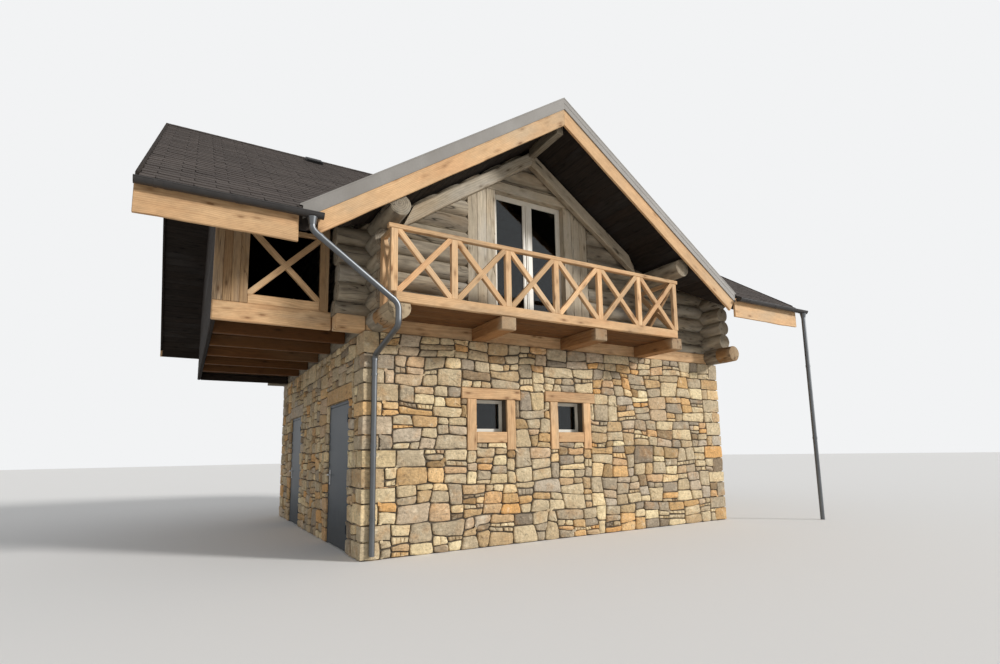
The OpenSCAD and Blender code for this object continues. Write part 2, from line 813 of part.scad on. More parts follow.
// The left one stands on the dressed log, the right one on the deck
module balcony_returns() color(honey) {
    return_panel(rail_xl + post_w / 2 - rail_t, deck_z, y0 - log_end_out - play);
    return_panel(rail_xr + post_w / 2 - rail_t, deck_z + deck_t, y0 - 2);
}

module bay_joists() color(honey)
    for (i = [0 : joists - 1])
        span([bay_x + bay_wall_t, joist_y + i * joist_pitch - joist_w / 2, bay_z],
            [x0 - 1, joist_y + i * joist_pitch + joist_w / 2, bay_z + joist_h]);

module bay_rim() color(honey)
    translate([0, bay_y + bay_front_t, 0]) rotate([90, 0, 0]) linear_extrude(bay_front_t) {
        corner = 45;
        xr = x0 - bay_gap;
        difference() {
            translate([bay_x, bay_z]) square([xr - bay_x, bay_rim_h]);
            translate([xr - corner, bay_z - 1]) square([corner + 1, corner + 1]);
        }
        translate([xr - corner, bay_z + corner]) circle(corner);
    }

module bay_floor() color(honey)
    span([bay_x + bay_wall_t, bay_y + bay_front_t, bay_z + joist_h],
        [x0 - 1, bay_yb - bay_wall_t, bay_z + joist_h + bay_floor_t]);

// Boarded end of the bay, up to the roof
module bay_side_wall() color(dark_boards) intersection() {
    span([bay_x, bay_y + bay_front_t, bay_z], [bay_x + bay_wall_t, bay_yb, far]);
    under_main();
}

module bay_rear_wall() color(dark_boards) intersection() {
    span([bay_x + bay_wall_t, bay_yb - bay_wall_t, bay_z], [x0 - 1, bay_yb, far]);
    under_main();
}

module bay_posts() color(honey) intersection() {
    union() {
        span([bay_x, bay_y, bay_z + bay_rim_h], [bay_x + bay_post_w, bay_y + bay_front_t, far]);
        span([slim_x, bay_y, bay_z + bay_rim_h], [slim_x + bay_slim_w, bay_y + bay_front_t, far]);
    }
    under_main();
}

// Bottom rail, crossed braces and top rail between the bay's posts
module bay_railing() color(honey)
    translate([0, bay_y + 70, 0]) rotate([90, 0, 0]) linear_extrude(rail_t) {
        xa = bay_x + bay_post_w + 1;
        xb = slim_x - 1;
        za = bay_z + bay_rim_h;
        translate([xa, za]) square([xb - xa, bay_rail_h]);
        brace_bay(xa, xb, za + bay_rail_h - 1, bay_rail_top + 1);
        translate([xa, bay_rail_top]) square([xb - xa, top_rail_t]);
    }

// Low vent near the ridge on the left of the front slope
vent_w = 320;
vent_out = 190;
vent_down = 340;
module roof_vent() color(dark_boards)
    translate([x0 - vent_out, -vent_down, main_z(vent_down)]) rotate([roof_pitch, 0, 0])
        translate([-vent_w / 2, -vent_w / 2, 0]) cube([vent_w, vent_w, 70]);

stone_front_wall();
stone_left_piers();
stone_left_lintel();
stone_right_wall();
stone_rear_wall();
ground_floor();
window_surrounds();
window_frames();
window_glass();
door_frames();
near_door();
far_door();
near_door_handle();
far_door_handle();
upper_floor();
front_sill();
front_logs();
rear_logs();
left_logs();
right_logs();
french_door_posts();
french_door_lintel();
french_door_frame();
french_door_glass();
gable_rafters();
purlins();
roof_front_left();
roof_front_right();
roof_rear();
cross_roof_left();
cross_roof_right();
fascias();
bargeboards();
verge_boards();
verge_trims();
gutters();
downpipes();
balcony_corbels();
balcony_deck();
balcony_rim();
balcony_railing();
balcony_returns();
bay_joists();
bay_rim();
bay_floor();
bay_side_wall();
bay_rear_wall();
bay_posts();
bay_railing();
roof_vent();
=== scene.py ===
import math
import random

import bmesh
import bpy
from mathutils import Matrix, Vector, noise


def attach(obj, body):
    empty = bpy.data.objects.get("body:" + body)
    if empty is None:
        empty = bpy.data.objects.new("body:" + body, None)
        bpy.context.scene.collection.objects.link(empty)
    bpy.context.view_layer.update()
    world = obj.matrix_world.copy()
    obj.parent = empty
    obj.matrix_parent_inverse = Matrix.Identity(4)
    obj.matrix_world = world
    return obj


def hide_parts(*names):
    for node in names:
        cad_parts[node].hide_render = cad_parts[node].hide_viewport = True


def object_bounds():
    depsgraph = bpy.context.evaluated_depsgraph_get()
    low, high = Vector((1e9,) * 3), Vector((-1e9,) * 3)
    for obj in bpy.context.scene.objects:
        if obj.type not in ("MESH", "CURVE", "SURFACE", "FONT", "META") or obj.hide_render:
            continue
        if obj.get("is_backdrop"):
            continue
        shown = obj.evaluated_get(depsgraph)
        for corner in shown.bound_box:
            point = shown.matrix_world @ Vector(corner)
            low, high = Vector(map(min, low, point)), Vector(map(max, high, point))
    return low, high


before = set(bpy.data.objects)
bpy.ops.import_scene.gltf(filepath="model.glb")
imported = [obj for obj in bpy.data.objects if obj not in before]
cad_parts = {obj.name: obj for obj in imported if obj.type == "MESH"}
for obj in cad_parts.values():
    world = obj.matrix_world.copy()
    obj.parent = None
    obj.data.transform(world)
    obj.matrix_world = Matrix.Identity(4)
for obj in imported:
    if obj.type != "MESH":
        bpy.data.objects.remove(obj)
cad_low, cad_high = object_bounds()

# The chalet stands on a plain pale floor under a soft sky, with a broad lamp at the right of the
# front and a faint one at the left. The camera stands left of the front, low down.
scene = bpy.context.scene
scene.view_settings.view_transform = "Standard"
yaw, pitch, roll = (math.radians(a) for a in (30.809, 8.149, -1.031))
sight = Vector((math.sin(yaw) * math.cos(pitch), math.cos(yaw) * math.cos(pitch), math.sin(pitch)))
level = Vector((math.cos(yaw), -math.sin(yaw), 0))
plumb = level.cross(sight)
camera = bpy.data.objects.new("camera", bpy.data.cameras.new("camera"))
camera.data.lens, camera.data.sensor_width = 19.584, 36
camera.data.shift_x, camera.data.shift_y = -0.006737, 0.043553
camera.matrix_world = Matrix.Translation((-5.597, -10.494, 1.3346)) @ Matrix((
    level * math.cos(roll) + plumb * math.sin(roll),
    plumb * math.cos(roll) - level * math.sin(roll), -sight)).transposed().to_4x4()
scene.collection.objects.link(camera)
scene.camera = camera


def lamp(name, energy, angle, towards):
    made = bpy.data.objects.new(name, bpy.data.lights.new(name, "SUN"))
    made.data.energy, made.data.angle = energy, math.radians(angle)
    made.rotation_euler = Vector(towards).to_track_quat("-Z", "Y").to_euler()
    scene.collection.objects.link(made)


lamp("key", 3.1, 9, (-0.64, 0.68, -0.36))
lamp("side", 0.12, 60, (0.80, 0.45, -0.40))


class Shade:
    """A socket of a shader. Sums, products and powers of it add Math nodes."""

    def __init__(self, tree, socket=None):
        self.tree, self.socket = tree, socket

    def node(self, kind, sockets=(), out=0, stops=(), **settings):
        """Adds any other node: its settings first, then its sockets' values or links."""
        made = self.tree.nodes.new("ShaderNode" + kind)
        for name, value in settings.items():
            setattr(made, name, value)
        for i, (place, colour) in enumerate(stops):
            elements = made.color_ramp.elements
            stop = elements[i] if i < 2 else elements.new(place)
            stop.position, stop.color = place, colour
        for key, value in dict(sockets).items():
            if isinstance(value, Shade):
                self.tree.links.new(value.socket, made.inputs[key])
            else:
                made.inputs[key].default_value = value
        return Shade(self.tree, made.outputs[out])

    def math(self, operation, *terms):
        return self.node("Math", enumerate((self, *terms)), operation=operation)

    def __add__(self, other):
        return self.math("ADD", other)

    def __mul__(self, other):
        return self.math("MULTIPLY", other)

    def __sub__(self, other):
        return self.math("SUBTRACT", other)

    def __rsub__(self, other):
        return self * -1 + other

    def __pow__(self, other):
        return self.math("POWER", other)

    def __abs__(self):
        return self.math("ABSOLUTE")

    __radd__ = __add__

    def clamp(self):
        return self.node("Clamp", {0: self})

    def stretch(self, x, y, z):
        return self.node("VectorMath", {0: self, 1: (x, y, z)}, operation="MULTIPLY")

    def part(self, axis):
        return self.node("SeparateXYZ", {0: self}, out=axis)

    def cloud(self, scale, detail=4, rough=0.55):
        """Noise from 0 to 1 over the pattern's place."""
        return self.node("TexNoise", {"Vector": self, "Scale": scale, "Detail": detail, "Roughness": rough})

    def over(self, least, steep):
        """0 where this value is under the least, rising steeply to 1."""
        return ((self - least) * steep).clamp()

    def blend(self, low, high):
        """The first colour where this value is 0, the second where it is 1."""
        return self.node("Mix", {0: self, 6: low, 7: high}, out=2, data_type="RGBA")

    def dim(self, strength):
        """The colour times a value."""
        return self.node("VectorMath", {0: self, "Scale": strength}, operation="SCALE")


def paint(hexa):
    """A colour as it is seen, turned into the linear values of a shader."""
    seen = (int(hexa[i:i + 2], 16) / 255 for i in (1, 3, 5))
    return (*(c / 12.92 if c < 0.04045 else ((c + 0.055) / 1.055) ** 2.4 for c in seen), 1)


def finish(name, look, fixed=()):
    """A material: look() returns its colour, its roughness and its height in metres."""
    made = bpy.data.materials.new(name)
    made.use_nodes = True
    tree = made.node_tree
    shader = tree.nodes["Principled BSDF"]
    for key, value in dict(fixed).items():
        shader.inputs[key].default_value = value
    colour, rough, height = look(Shade(tree))
    for key, value in (("Base Color", colour), ("Roughness", rough)):
        if isinstance(value, Shade):
            tree.links.new(value.socket, shader.inputs[key])
        else:
            shader.inputs[key].default_value = value
    if height:
        bump = height.node("Bump", {"Height": height, "Distance": 1.0, "Strength": 1.0})
        tree.links.new(bump.socket, shader.inputs["Normal"])
    return made


def place(shade):
    return shade.node("TexCoord", out=3)


def coat(look, *nodes):
    """Gives CAD nodes that show as made their finish."""
    for node in nodes:
        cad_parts[node].data.materials[0] = look


def moved(x, y, z):
    return Matrix.Translation((x, y, z))


def turned(angle, axis):
    return Matrix.Rotation(angle, 4, axis)


def sized(x, y, z):
    return Matrix.Diagonal((x, y, z, 1))


floor_mesh = bmesh.new()
bmesh.ops.create_grid(floor_mesh, x_segments=1, y_segments=1, size=120, matrix=moved(0, 0, -0.002))
floor = bpy.data.objects.new("floor", bpy.data.meshes.new("floor"))
floor_mesh.to_mesh(floor.data)
floor.data.materials.append(finish("floor", lambda s: (paint("#e6e3de"), 0.9, None)))
scene.collection.objects.link(floor)
floor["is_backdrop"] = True

scene.world = bpy.data.worlds.new("sky")
scene.world.use_nodes = True
sky = Shade(scene.world.node_tree)
to_camera, mirrored, through = (sky.node("LightPath", out=i) for i in (0, 3, 6))
seen = to_camera.math("MAXIMUM", mirrored).math("MAXIMUM", through)
dome = sky.node("Background", {0: paint("#eef2f8"), 1: 0.55})
backdrop = sky.node("Background", {0: paint("#f2f3f4"), 1: 1.0})
shown = sky.node("MixShader", {0: seen, 1: dome, 2: backdrop})
scene.world.node_tree.links.new(shown.socket, scene.world.node_tree.nodes["World Output"].inputs[0])

# The ground storey is rubble: flat mountain stones laid in rough courses, in a sandy mortar that
# is raked back. The CAD walls are the mortar bed, and each stone is split to its size from a
# whole bed of stone and stands proud of the mortar by its own amount.
WEST, EAST, SOUTH, NORTH, STONE_TOP = -3.54, 3.54, -3.33, 3.33, 3.02
WINDOWS, WINDOW_LOW, WINDOW_TOP, WINDOW_W = (-1.875, -0.395), 1.66, 2.145, 0.52
DOORS, DOOR_TOP = ((-2.64, 1.23), (0.98, 1.08)), 2.15
UP = (0, 0, 1)


def mortar_look(s):
    at = place(s)
    patch, grit = at.cloud(2.2, 3), at.cloud(160, 3)
    # The mortar is coloured dark brown: its own sandy grey, darkened as painted shade of the raked-back joints
    # between the proud stones.
    colour = (patch * 0.6 + grit * 0.4).blend(paint("#2c251f"), paint("#6c604f"))
    return colour, 0.95, grit * 0.004 + at.cloud(30) * 0.008


STONE_TONES = ("#a29279", "#c4b08c", "#918370", "#d2bd95", "#ac9776", "#bd9763", "#b2a48f", "#cb9a5d",
               "#ddcaa0", "#96784f", "#7d7160")
TONE_STOPS = (0.0, 0.12, 0.24, 0.36, 0.48, 0.58, 0.68, 0.78, 0.86, 0.93, 1.0)


def stone_look(s):
    """A tone for each stone, with rusty and pale clouds and dark lichen, clefts along its beds painted dark as
    painted shade, and a mottle darker where the bump is lower, partly its own tone and partly painted shade of
    its relief.
    """
    at = place(s)
    tone = s.node("Attribute", out=2, attribute_name="tone")
    colour = tone.node("ValToRGB", {0: tone}, stops=[(p, paint(c)) for p, c in zip(TONE_STOPS, STONE_TONES)])
    own = at.node("CombineXYZ", {0: tone * 40, 1: tone * 23, 2: tone * 31})
    shifted = at.node("VectorMath", {0: at, 1: own}, operation="ADD")
    cloudy, beds = shifted.cloud(4.5, 6, 0.62), shifted.stretch(6, 6, 42).cloud(1, 5, 0.6)
    hewn, grit = shifted.cloud(24, 6, 0.65), shifted.cloud(150, 3)
    # The clefts are painted dark and sunk a little: painted shade inside them.
    shaded_cleft = beds.over(0.55, 9) * shifted.cloud(7, 3).over(0.42, 5)
    for where, share, shade in ((shifted.cloud(3.7, 4).over(0.53, 6), 0.42, "#b08350"),
                                (shifted.cloud(9, 5).over(0.57, 6), 0.35, "#d9cfb6"),
                                (shifted.cloud(19, 5, 0.7).over(0.57, 8), 0.6, "#514a41"),
                                (shaded_cleft, 0.5, "#564c40")):
        colour = (where * share).blend(colour, paint(shade))
    # Dimming the tone by the same noises that raise the bump makes hollows darker and high spots lighter: the
    # stone's own mottle together with painted shade and painted light of its relief.
    colour = colour.dim(cloudy * 0.7 + beds * 0.8 + hewn * 1.25 - 0.27)
    height = cloudy * 0.014 + beds * 0.012 + hewn * 0.02 + grit * 0.002 - shaded_cleft * 0.004
    return colour, 0.84 + cloudy * 0.12, height


mortar, stone = finish("mortar", mortar_look), finish("stone", stone_look)
coat(mortar, "stone_front_wall", "stone_left_piers", "stone_left_lintel", "stone_right_wall", "stone_rear_wall")


def piece(name, mesh, look, slot, *nodes, sharp=32):
    """Makes a mesh a piece of the house that stands for the CAD nodes named."""
    data = bpy.data.meshes.new(name)
    mesh.to_mesh(data)
    mesh.free()
    data.materials.append(look)
    data.shade_smooth()
    data.set_sharp_from_angle(angle=math.radians(sharp))
    made = bpy.data.objects.new(name, data)
    scene.collection.objects.link(made)
    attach(made, "house")
    if nodes:
        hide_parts(*nodes)


rng = random.Random(7)
noise.seed_set(7)


def stray(most):
    """A random amount, either way."""
    return rng.uniform(-most, most)


def cut(mesh, point, normal, geom=None, clear=False):
    """Cuts a mesh, or only the part of it given, along a plane. Clear takes off what is beyond."""
    return bmesh.ops.bisect_plane(mesh, geom=geom or [*mesh.verts, *mesh.edges, *mesh.faces],
                                  plane_co=point, plane_no=normal, clear_outer=clear)


def slit(mesh, face, point, normal):
    """Cuts one face in two along a plane, and returns what is left of it."""
    left = cut(mesh, point, normal, [face, *face.edges, *face.verts])["geom"]
    return [f for f in left if isinstance(f, bmesh.types.BMFace)]


def reach(face):
    """A face's left, right, lower and upper ends in the wall's plane."""
    across, up = [v.co.x for v in face.verts], [v.co.z for v in face.verts]
    return min(across), max(across), min(up), max(up)


def clear_hole(mesh, left, right, low, high):
    """Takes a rectangle out of the wall's face."""
    def inside():
        touch = 1e-4
        ends = [(f, reach(f)) for f in mesh.faces]
        return [f for f, (a, b, c, d) in ends
                if a < right - touch and b > left + touch and c < high - touch and d > low + touch]

    for point, normal in (((left, 0, 0), (1, 0, 0)), ((right, 0, 0), (1, 0, 0)),
                          ((0, 0, low), UP), ((0, 0, high), UP)):
        for face in inside():
            slit(mesh, face, point, normal)
    bmesh.ops.delete(mesh, geom=inside(), context="FACES")


courses = [0.0]
while courses[-1] < STONE_TOP - 0.38:
    courses.append(courses[-1] + rng.uniform(0.19, 0.32))
courses.append(STONE_TOP)
LONG_QUOIN, SHORT_QUOIN, QUOIN_STRAY = 0.43, 0.24, 0.05


def quoin(i, corner, side):
    """How far the corner stone of a course runs along the wall on one side of the corner."""
    return (LONG_QUOIN if (i + corner + side) % 2 else SHORT_QUOIN) + QUOIN_STRAY * math.sin(5.1 * i + corner)


def hew(mesh, face):
    """Splits a bed of stone again and again, until each piece has a stone's size."""
    left, right, low, high = reach(face)
    wide, tall = right - left, high - low
    if wide > max(0.27, min(rng.uniform(0.40, 0.75), tall * rng.uniform(2.3, 5.5))):
        share = rng.uniform(0.36, 0.64) if wide < 1.2 else rng.uniform(0.4, 0.9) / wide
        point, normal = (left + wide * share, 0, low + tall / 2), (1, 0, stray(0.24))
    elif tall > rng.uniform(0.14, 0.33):
        point, normal = (left + wide / 2, 0, low + tall * rng.uniform(0.3, 0.7)), (stray(0.08), 0, 1)
    else:
        return
    halves = slit(mesh, face, point, normal)
    if len(halves) > 1:
        for half in halves:
            hew(mesh, half)


def breadth(face):
    """How far a stone is from being a sliver."""
    return face.calc_area() / face.calc_perimeter()


def sorted_out(faces, least):
    """The slivers, and the broader stones."""
    return [f for f in faces if breadth(f) < least], [f for f in faces if breadth(f) >= least]


SLIVER, JOINTS, THIN, PROUD, PROUD_MORE = 0.024, (0.005, 0.0095), 0.02, 0.018, 0.016


def lay_stones(name, wall, width, turn, holes):
    """One wall's stones, laid out in the wall's own plane and then turned to their place."""
    mesh = bmesh.new()
    bmesh.ops.create_grid(mesh, x_segments=1, y_segments=1, size=0.5,
                          matrix=moved(width / 2, 0, STONE_TOP / 2) @ turned(math.pi / 2, "X")
                          @ sized(width, STONE_TOP, 1))
    for z in courses[2:-1:2]:
        cut(mesh, (0, 0, z), UP)
    for i, (low, high) in enumerate(zip(courses, courses[1:])):
        clear_hole(mesh, -1, quoin(i, wall, 0), low, high)
        clear_hole(mesh, width - quoin(i, (wall + 1) % 4, 1), width + 1, low, high)
    for hole in holes:
        clear_hole(mesh, *hole)
    for face in list(mesh.faces):
        hew(mesh, face)
    for v in mesh.verts:
        if not v.is_boundary:
            v.co.z += noise.noise(Vector((v.co.x * 1.1 + wall * 9, 0, v.co.z * 1.6))) * 0.05
            v.co += Vector((stray(0.014), 0, stray(0.011)))
    tone = mesh.faces.layers.float.new("tone")
    for f in mesh.faces:
        f[tone] = rng.random()
    bmesh.ops.split_edges(mesh, edges=mesh.edges)
    for group, joint in zip(sorted_out(mesh.faces, SLIVER), JOINTS):
        rim = bmesh.ops.inset_individual(mesh, faces=group, thickness=joint, depth=0)["faces"]
        bmesh.ops.delete(mesh, geom=rim, context="FACES")
    for longest in (0.075, 0.1):
        long_edges = [e for e in mesh.edges if e.calc_length() > longest]
        bmesh.ops.subdivide_edges(mesh, edges=long_edges, cuts=1)
    for f in mesh.faces:
        amount = 0.007 if breadth(f) > 0.027 else 0.002
        for v in f.verts:
            v.co += Vector((stray(amount), 0.006, stray(amount)))
    bmesh.ops.smooth_vert(mesh, verts=mesh.verts, factor=0.25, use_axis_x=True, use_axis_z=True)
    stones = bmesh.ops.extrude_discrete_faces(mesh, faces=mesh.faces[:])["faces"]
    for f in stones:
        proud = Vector((0, -PROUD - rng.uniform(0.0, PROUD_MORE), 0))
        for v in f.verts:
            v.co += proud
    thin, broad = sorted_out(stones, THIN)
    spokes = []
    for group, shoulder, crown, uneven in ((thin, 0.005, 0.007, 0.0015), (broad, 0.009, 0.02, 0.004)):
        bmesh.ops.inset_individual(mesh, faces=group, thickness=shoulder, depth=0.007)
        bmesh.ops.inset_individual(mesh, faces=group, thickness=crown, depth=0.004)
        for f in group:
            for v in f.verts:
                v.co.y += stray(uneven)
        for v in bmesh.ops.poke(mesh, faces=group)["verts"]:
            v.co.y += rng.uniform(-0.005, 0.001)
            if group is broad:
                spokes += [e for e in v.link_edges if e.calc_length() > 0.06]
    for v in bmesh.ops.subdivide_edges(mesh, edges=spokes, cuts=1)["geom_inner"]:
        if isinstance(v, bmesh.types.BMVert):
            v.co.y += rng.uniform(-0.007, 0.005)
    for v in mesh.verts:
        v.co.z = min(max(v.co.z, 0.001), STONE_TOP - 0.001)
    bmesh.ops.recalc_face_normals(mesh, faces=mesh.faces)
    bmesh.ops.transform(mesh, verts=mesh.verts, matrix=turn)
    piece(name, mesh, stone, "stone", sharp=50)


LINTEL_OUT, JAMB, LINTEL_H, SILL_H, JAMB_DROP = 0.095, 0.15, 0.165, 0.16, 0.11


def window_holes(lefts):
    """What the small windows and their timber surrounds take out of the stones."""
    holes = []
    for left in lefts:
        right = left + WINDOW_W
        holes += [(left - JAMB - LINTEL_OUT, right + JAMB + LINTEL_OUT, WINDOW_TOP, WINDOW_TOP + LINTEL_H),
                  (left - JAMB, left, WINDOW_LOW - SILL_H - JAMB_DROP, WINDOW_TOP),
                  (right, right + JAMB, WINDOW_LOW - SILL_H - JAMB_DROP, WINDOW_TOP),
                  (left, right, WINDOW_LOW - SILL_H, WINDOW_TOP)]
    return holes


OVER_DOOR, OVER_DOOR_REST = 0.24, 0.17
doorways = [(NORTH - y - w, NORTH - y, -1, DOOR_TOP) for y, w in DOORS]
over_doors = [(a - OVER_DOOR_REST, b + OVER_DOOR_REST, DOOR_TOP, DOOR_TOP + OVER_DOOR)
              for a, b, *_ in doorways]
for wall, (name, x, y, holes) in enumerate((
        ("stones_front", WEST, SOUTH, window_holes([x - WEST for x in WINDOWS])),
        ("stones_right", EAST, SOUTH, []),
        ("stones_rear", EAST, NORTH, window_holes([EAST - x - WINDOW_W for x in WINDOWS])),
        ("stones_left", WEST, NORTH, doorways + over_doors))):
    width = NORTH - SOUTH if wall % 2 else EAST - WEST
    lay_stones(name, wall, width, moved(x, y, 0) @ turned(wall * math.pi / 2, "Z"), holes)

# The corner stones are larger blocks that turn the corner, long side left and right in turn, and
# a long flat stone lies over each doorway. All are split by hand, so their faces are uneven.
blocks = bmesh.new()
blocks.faces.layers.float.new("tone")
spare = bpy.data.meshes.new("spare")
QUOIN_PROUD = 0.034


def merge(mesh, part):
    """Adds a finished part to a piece's mesh."""
    part.to_mesh(spare)
    part.free()
    mesh.from_mesh(spare)


def block(low, high, joint=0.008, rough=0.010):
    """One hewn block between two corners, less half a joint all round."""
    part = bmesh.new()
    low, high = Vector(low) + Vector((joint,) * 3), Vector(high) - Vector((joint,) * 3)
    bmesh.ops.create_cube(part, size=1, matrix=moved(*(low + high) / 2) @ sized(*(high - low)))
    bmesh.ops.subdivide_edges(part, edges=part.edges, cuts=3, use_grid_fill=True)
    bmesh.ops.smooth_vert(part, verts=part.verts, factor=0.22,
                          use_axis_x=True, use_axis_y=True, use_axis_z=True)
    tone = part.faces.layers.float.new("tone")
    shade = rng.random()
    for f in part.faces:
        f[tone] = shade
    shift = Vector((stray(50), 0, 0))
    for v in part.verts:
        v.co += noise.noise_vector((v.co + shift) * 9) * rough
        v.co.z = max(v.co.z, 0)
    merge(blocks, part)


for corner, (x, y) in enumerate(((WEST, SOUTH), (EAST, SOUTH), (EAST, NORTH), (WEST, NORTH))):
    out_x, out_y = math.copysign(1, x), math.copysign(1, y)
    for i, (low, high) in enumerate(zip(courses, courses[1:])):
        along_x, along_y = quoin(i, corner, corner % 2), quoin(i, corner, 1 - corner % 2)
        xs = sorted((x + out_x * QUOIN_PROUD, x - out_x * along_x))
        ys = sorted((y + out_y * QUOIN_PROUD, y - out_y * along_y))
        block((xs[0], ys[0], low), (xs[1], ys[1], high))
for a, b, low, high in over_doors:
    block((WEST - QUOIN_PROUD, NORTH - b, low), (WEST + 0.1, NORTH - a, high))
piece("corner_stones", blocks, stone, "stone", sharp=50)

# The small windows have a surround of planed larch boards on the stone: a lintel that runs past
# two jambs, and a sill between them. The grain follows each board, and the edges are eased.
def wood_look(dark, pale, knot, flush, silver, figure=55, dapple=0.5, cracks=0.0, rough=0.7, worn=None):
    """Wood that follows its own timber: rings round the heart, fibre, knots and drying cracks, whose dark is
    painted shade inside them.

    Some stretches of it flush redder, and others have begun to go silver. It is silver all over
    where worn, a place along Y, says that rain and sun reach it."""
    def look(s):
        at = s.node("Attribute", out=1, attribute_name="grain")
        bend = at.stretch(0.7, 2.2, 2.2)
        wide = at.part(1) + (bend.cloud(1, 2) - 0.5) * 0.10
        deep = at.part(2) + (bend.cloud(1.7, 2) - 0.5) * 0.10
        radius = (wide * wide + deep * deep) ** 0.5
        rings = (radius * (figure * math.tau)).math("SINE") * 0.5 + 0.5
        fibre, streak = at.stretch(2.5, 150, 150).cloud(1, 3), at.stretch(0.9, 13, 13).cloud(1, 4)
        own = (at.part(0) * 0.01 + 0.5).math("FLOOR")
        tone = own.node("TexWhiteNoise", {1: own}, noise_dimensions="1D")
        colour = (rings * 0.30 + fibre * 0.30 + streak * 0.55 - 0.05).clamp().blend(paint(dark), paint(pale))
        tint = at.stretch(0.8, 2.4, 2.4).cloud(1, 4)
        colour = (tint.over(0.52, 5) * 0.45).blend(colour, paint(flush))
        colour = ((tone * 0.12 - tint).over(-0.41, 5) * 0.5).blend(colour, paint(silver))
        if worn is not None:
            reached = ((worn - place(s).part(1)) * 5 + at.cloud(5) * 1.6 - 0.8).clamp()
            grey = (streak * 0.6 + fibre * 0.4).blend(paint("#7d6f5c"), paint("#c4b292"))
            colour = (reached * 0.8).blend(colour, grey)
        eye = at.node("TexVoronoi", {0: at.stretch(3.4, 10, 10), 2: 1.0})
        sound = own.node("TexNoise", {0: at.stretch(1.1, 2, 2), 2: 1.0}).over(0.36, 6)
        for size, steep, share in ((0.36, 5, 0.35), (0.16, 14, 0.65)):
            colour = (((size - eye) * steep).clamp() * sound * share).blend(colour, paint(knot))
        patch, mottle = at.stretch(1.2, 3, 3).cloud(1, 4), at.stretch(9, 24, 24).cloud(1, 5, 0.7)
        colour = colour.dim(1.0 - dapple * 1.25 + (patch + mottle + tone * 0.5) * dapple)
        height = fibre * 0.0005 + rings * 0.0007 + streak * 0.0012
        # The drying cracks are painted near black and sunk a little: painted shade inside them, with cracks
        # setting how dark.
        if cracks:
            split = 1 - (abs(at.stretch(0.7, 8, 8).cloud(1, 2, 0.4) - 0.5) * 95).clamp()
            split = split * at.stretch(0.6, 1, 1).cloud(3, 2).over(0.47, 12)
            colour = (split * cracks).blend(colour, paint("#1c1814"))
            height = height - split * 0.005
        return colour, rough + streak * 0.2 - 0.05, height
    return look


DULL = {"Specular IOR Level": 0.2}


def wood(name, *tones, fixed=DULL, **growth):
    return finish(name, wood_look(*tones, **growth), fixed)


larch = wood("larch", "#a97e55", "#e0bc8f", "#6f4827", "#c69062", "#ab9e87", dapple=0.6, rough=0.66)


def saw_off(part, planes):
    """Saws a closed part off beyond planes and closes the cuts."""
    for point, normal in planes:
        rim = [e for e in cut(part, point, normal, clear=True)["geom_cut"] if isinstance(e, bmesh.types.BMEdge)]
        if rim:
            bmesh.ops.holes_fill(part, edges=rim, sides=0)


def settle(mesh, part, middle, run, turn, ragged, saws, heart):
    """Gives a wooden part its grain, its uneven line and its place, and saws it off."""
    grain = part.verts.layers.float_vector.new("grain")
    sides = [max(v.co[i] for v in part.verts) - min(v.co[i] for v in part.verts) for i in range(3)]
    thin = sides.index(min(sides))
    along = rng.randrange(-400, 400) * 100 + stray(30)
    for v in part.verts:
        local = v.co - middle
        v[grain] = Vector((local[run] + along, local[(run + 1) % 3], local[(run + 2) % 3])) + heart
        if ragged:
            bent = noise.noise_vector(Vector((v.co[run] * 1.7 + along, 0, 0)) + local * 0.6) * ragged
            bent[run] = 0
            bent[thin] *= 0.2
            v.co += bent
    if turn:
        bmesh.ops.transform(part, matrix=turn, verts=part.verts)
    saw_off(part, saws)
    merge(mesh, part)


def timber(mesh, low, high, turn=None, ease=0.004, cuts=0, ragged=0.0, saws=()):
    """A squared timber between two corners, its grain along its longest side and its edges eased.

    It is then turned to its place and sawn off beyond planes. Ragged is how far the edges stray."""
    low, high = Vector(low), Vector(high)
    size, middle = high - low, (low + high) / 2
    run = max(range(3), key=lambda i: size[i])
    part = bmesh.new()
    bmesh.ops.create_cube(part, size=1, matrix=moved(*middle) @ sized(*size))
    normal = Vector([float(i == run) for i in range(3)])
    for i in range(cuts):
        cut(part, low + normal * size[run] * (i + 1) / (cuts + 1), normal)
    edges = [e for e in part.edges if e.calc_face_angle(0) > 0.5]
    bmesh.ops.bevel(part, geom=edges, offset=ease, segments=1, profile=0.5, affect="EDGES", material=-1)
    heart = Vector((0, stray(0.12), rng.choice((-1, 1)) * rng.uniform(0.02, 0.2)))
    settle(mesh, part, middle, run, turn, ragged, saws, heart)


def new_mesh():
    mesh = bmesh.new()
    mesh.verts.layers.float_vector.new("grain")
    return mesh


SURROUND_OUT = 0.045
surrounds = new_mesh()
for side in (1, -1):
    front, back = sorted((side * SOUTH, side * (SOUTH - SURROUND_OUT)))
    for left in WINDOWS:
        right, jamb_low = left + WINDOW_W, WINDOW_LOW - SILL_H - JAMB_DROP
        timber(surrounds, (left - JAMB - LINTEL_OUT, front - 0.004, WINDOW_TOP),
               (right + JAMB + LINTEL_OUT, back + 0.004, WINDOW_TOP + LINTEL_H),
               ease=0.008, cuts=4, ragged=0.006)
        for x in (left - JAMB, right):
            timber(surrounds, (x, front, jamb_low), (x + JAMB, back, WINDOW_TOP - 0.001),
                   ease=0.007, cuts=4, ragged=0.006)
        timber(surrounds, (left + 0.001, front + 0.003, WINDOW_LOW - SILL_H),
               (right - 0.001, back - 0.003, WINDOW_LOW), ease=0.007, cuts=3, ragged=0.005)
piece("window_boards", surrounds, larch, "planed_wood", "window_surrounds")

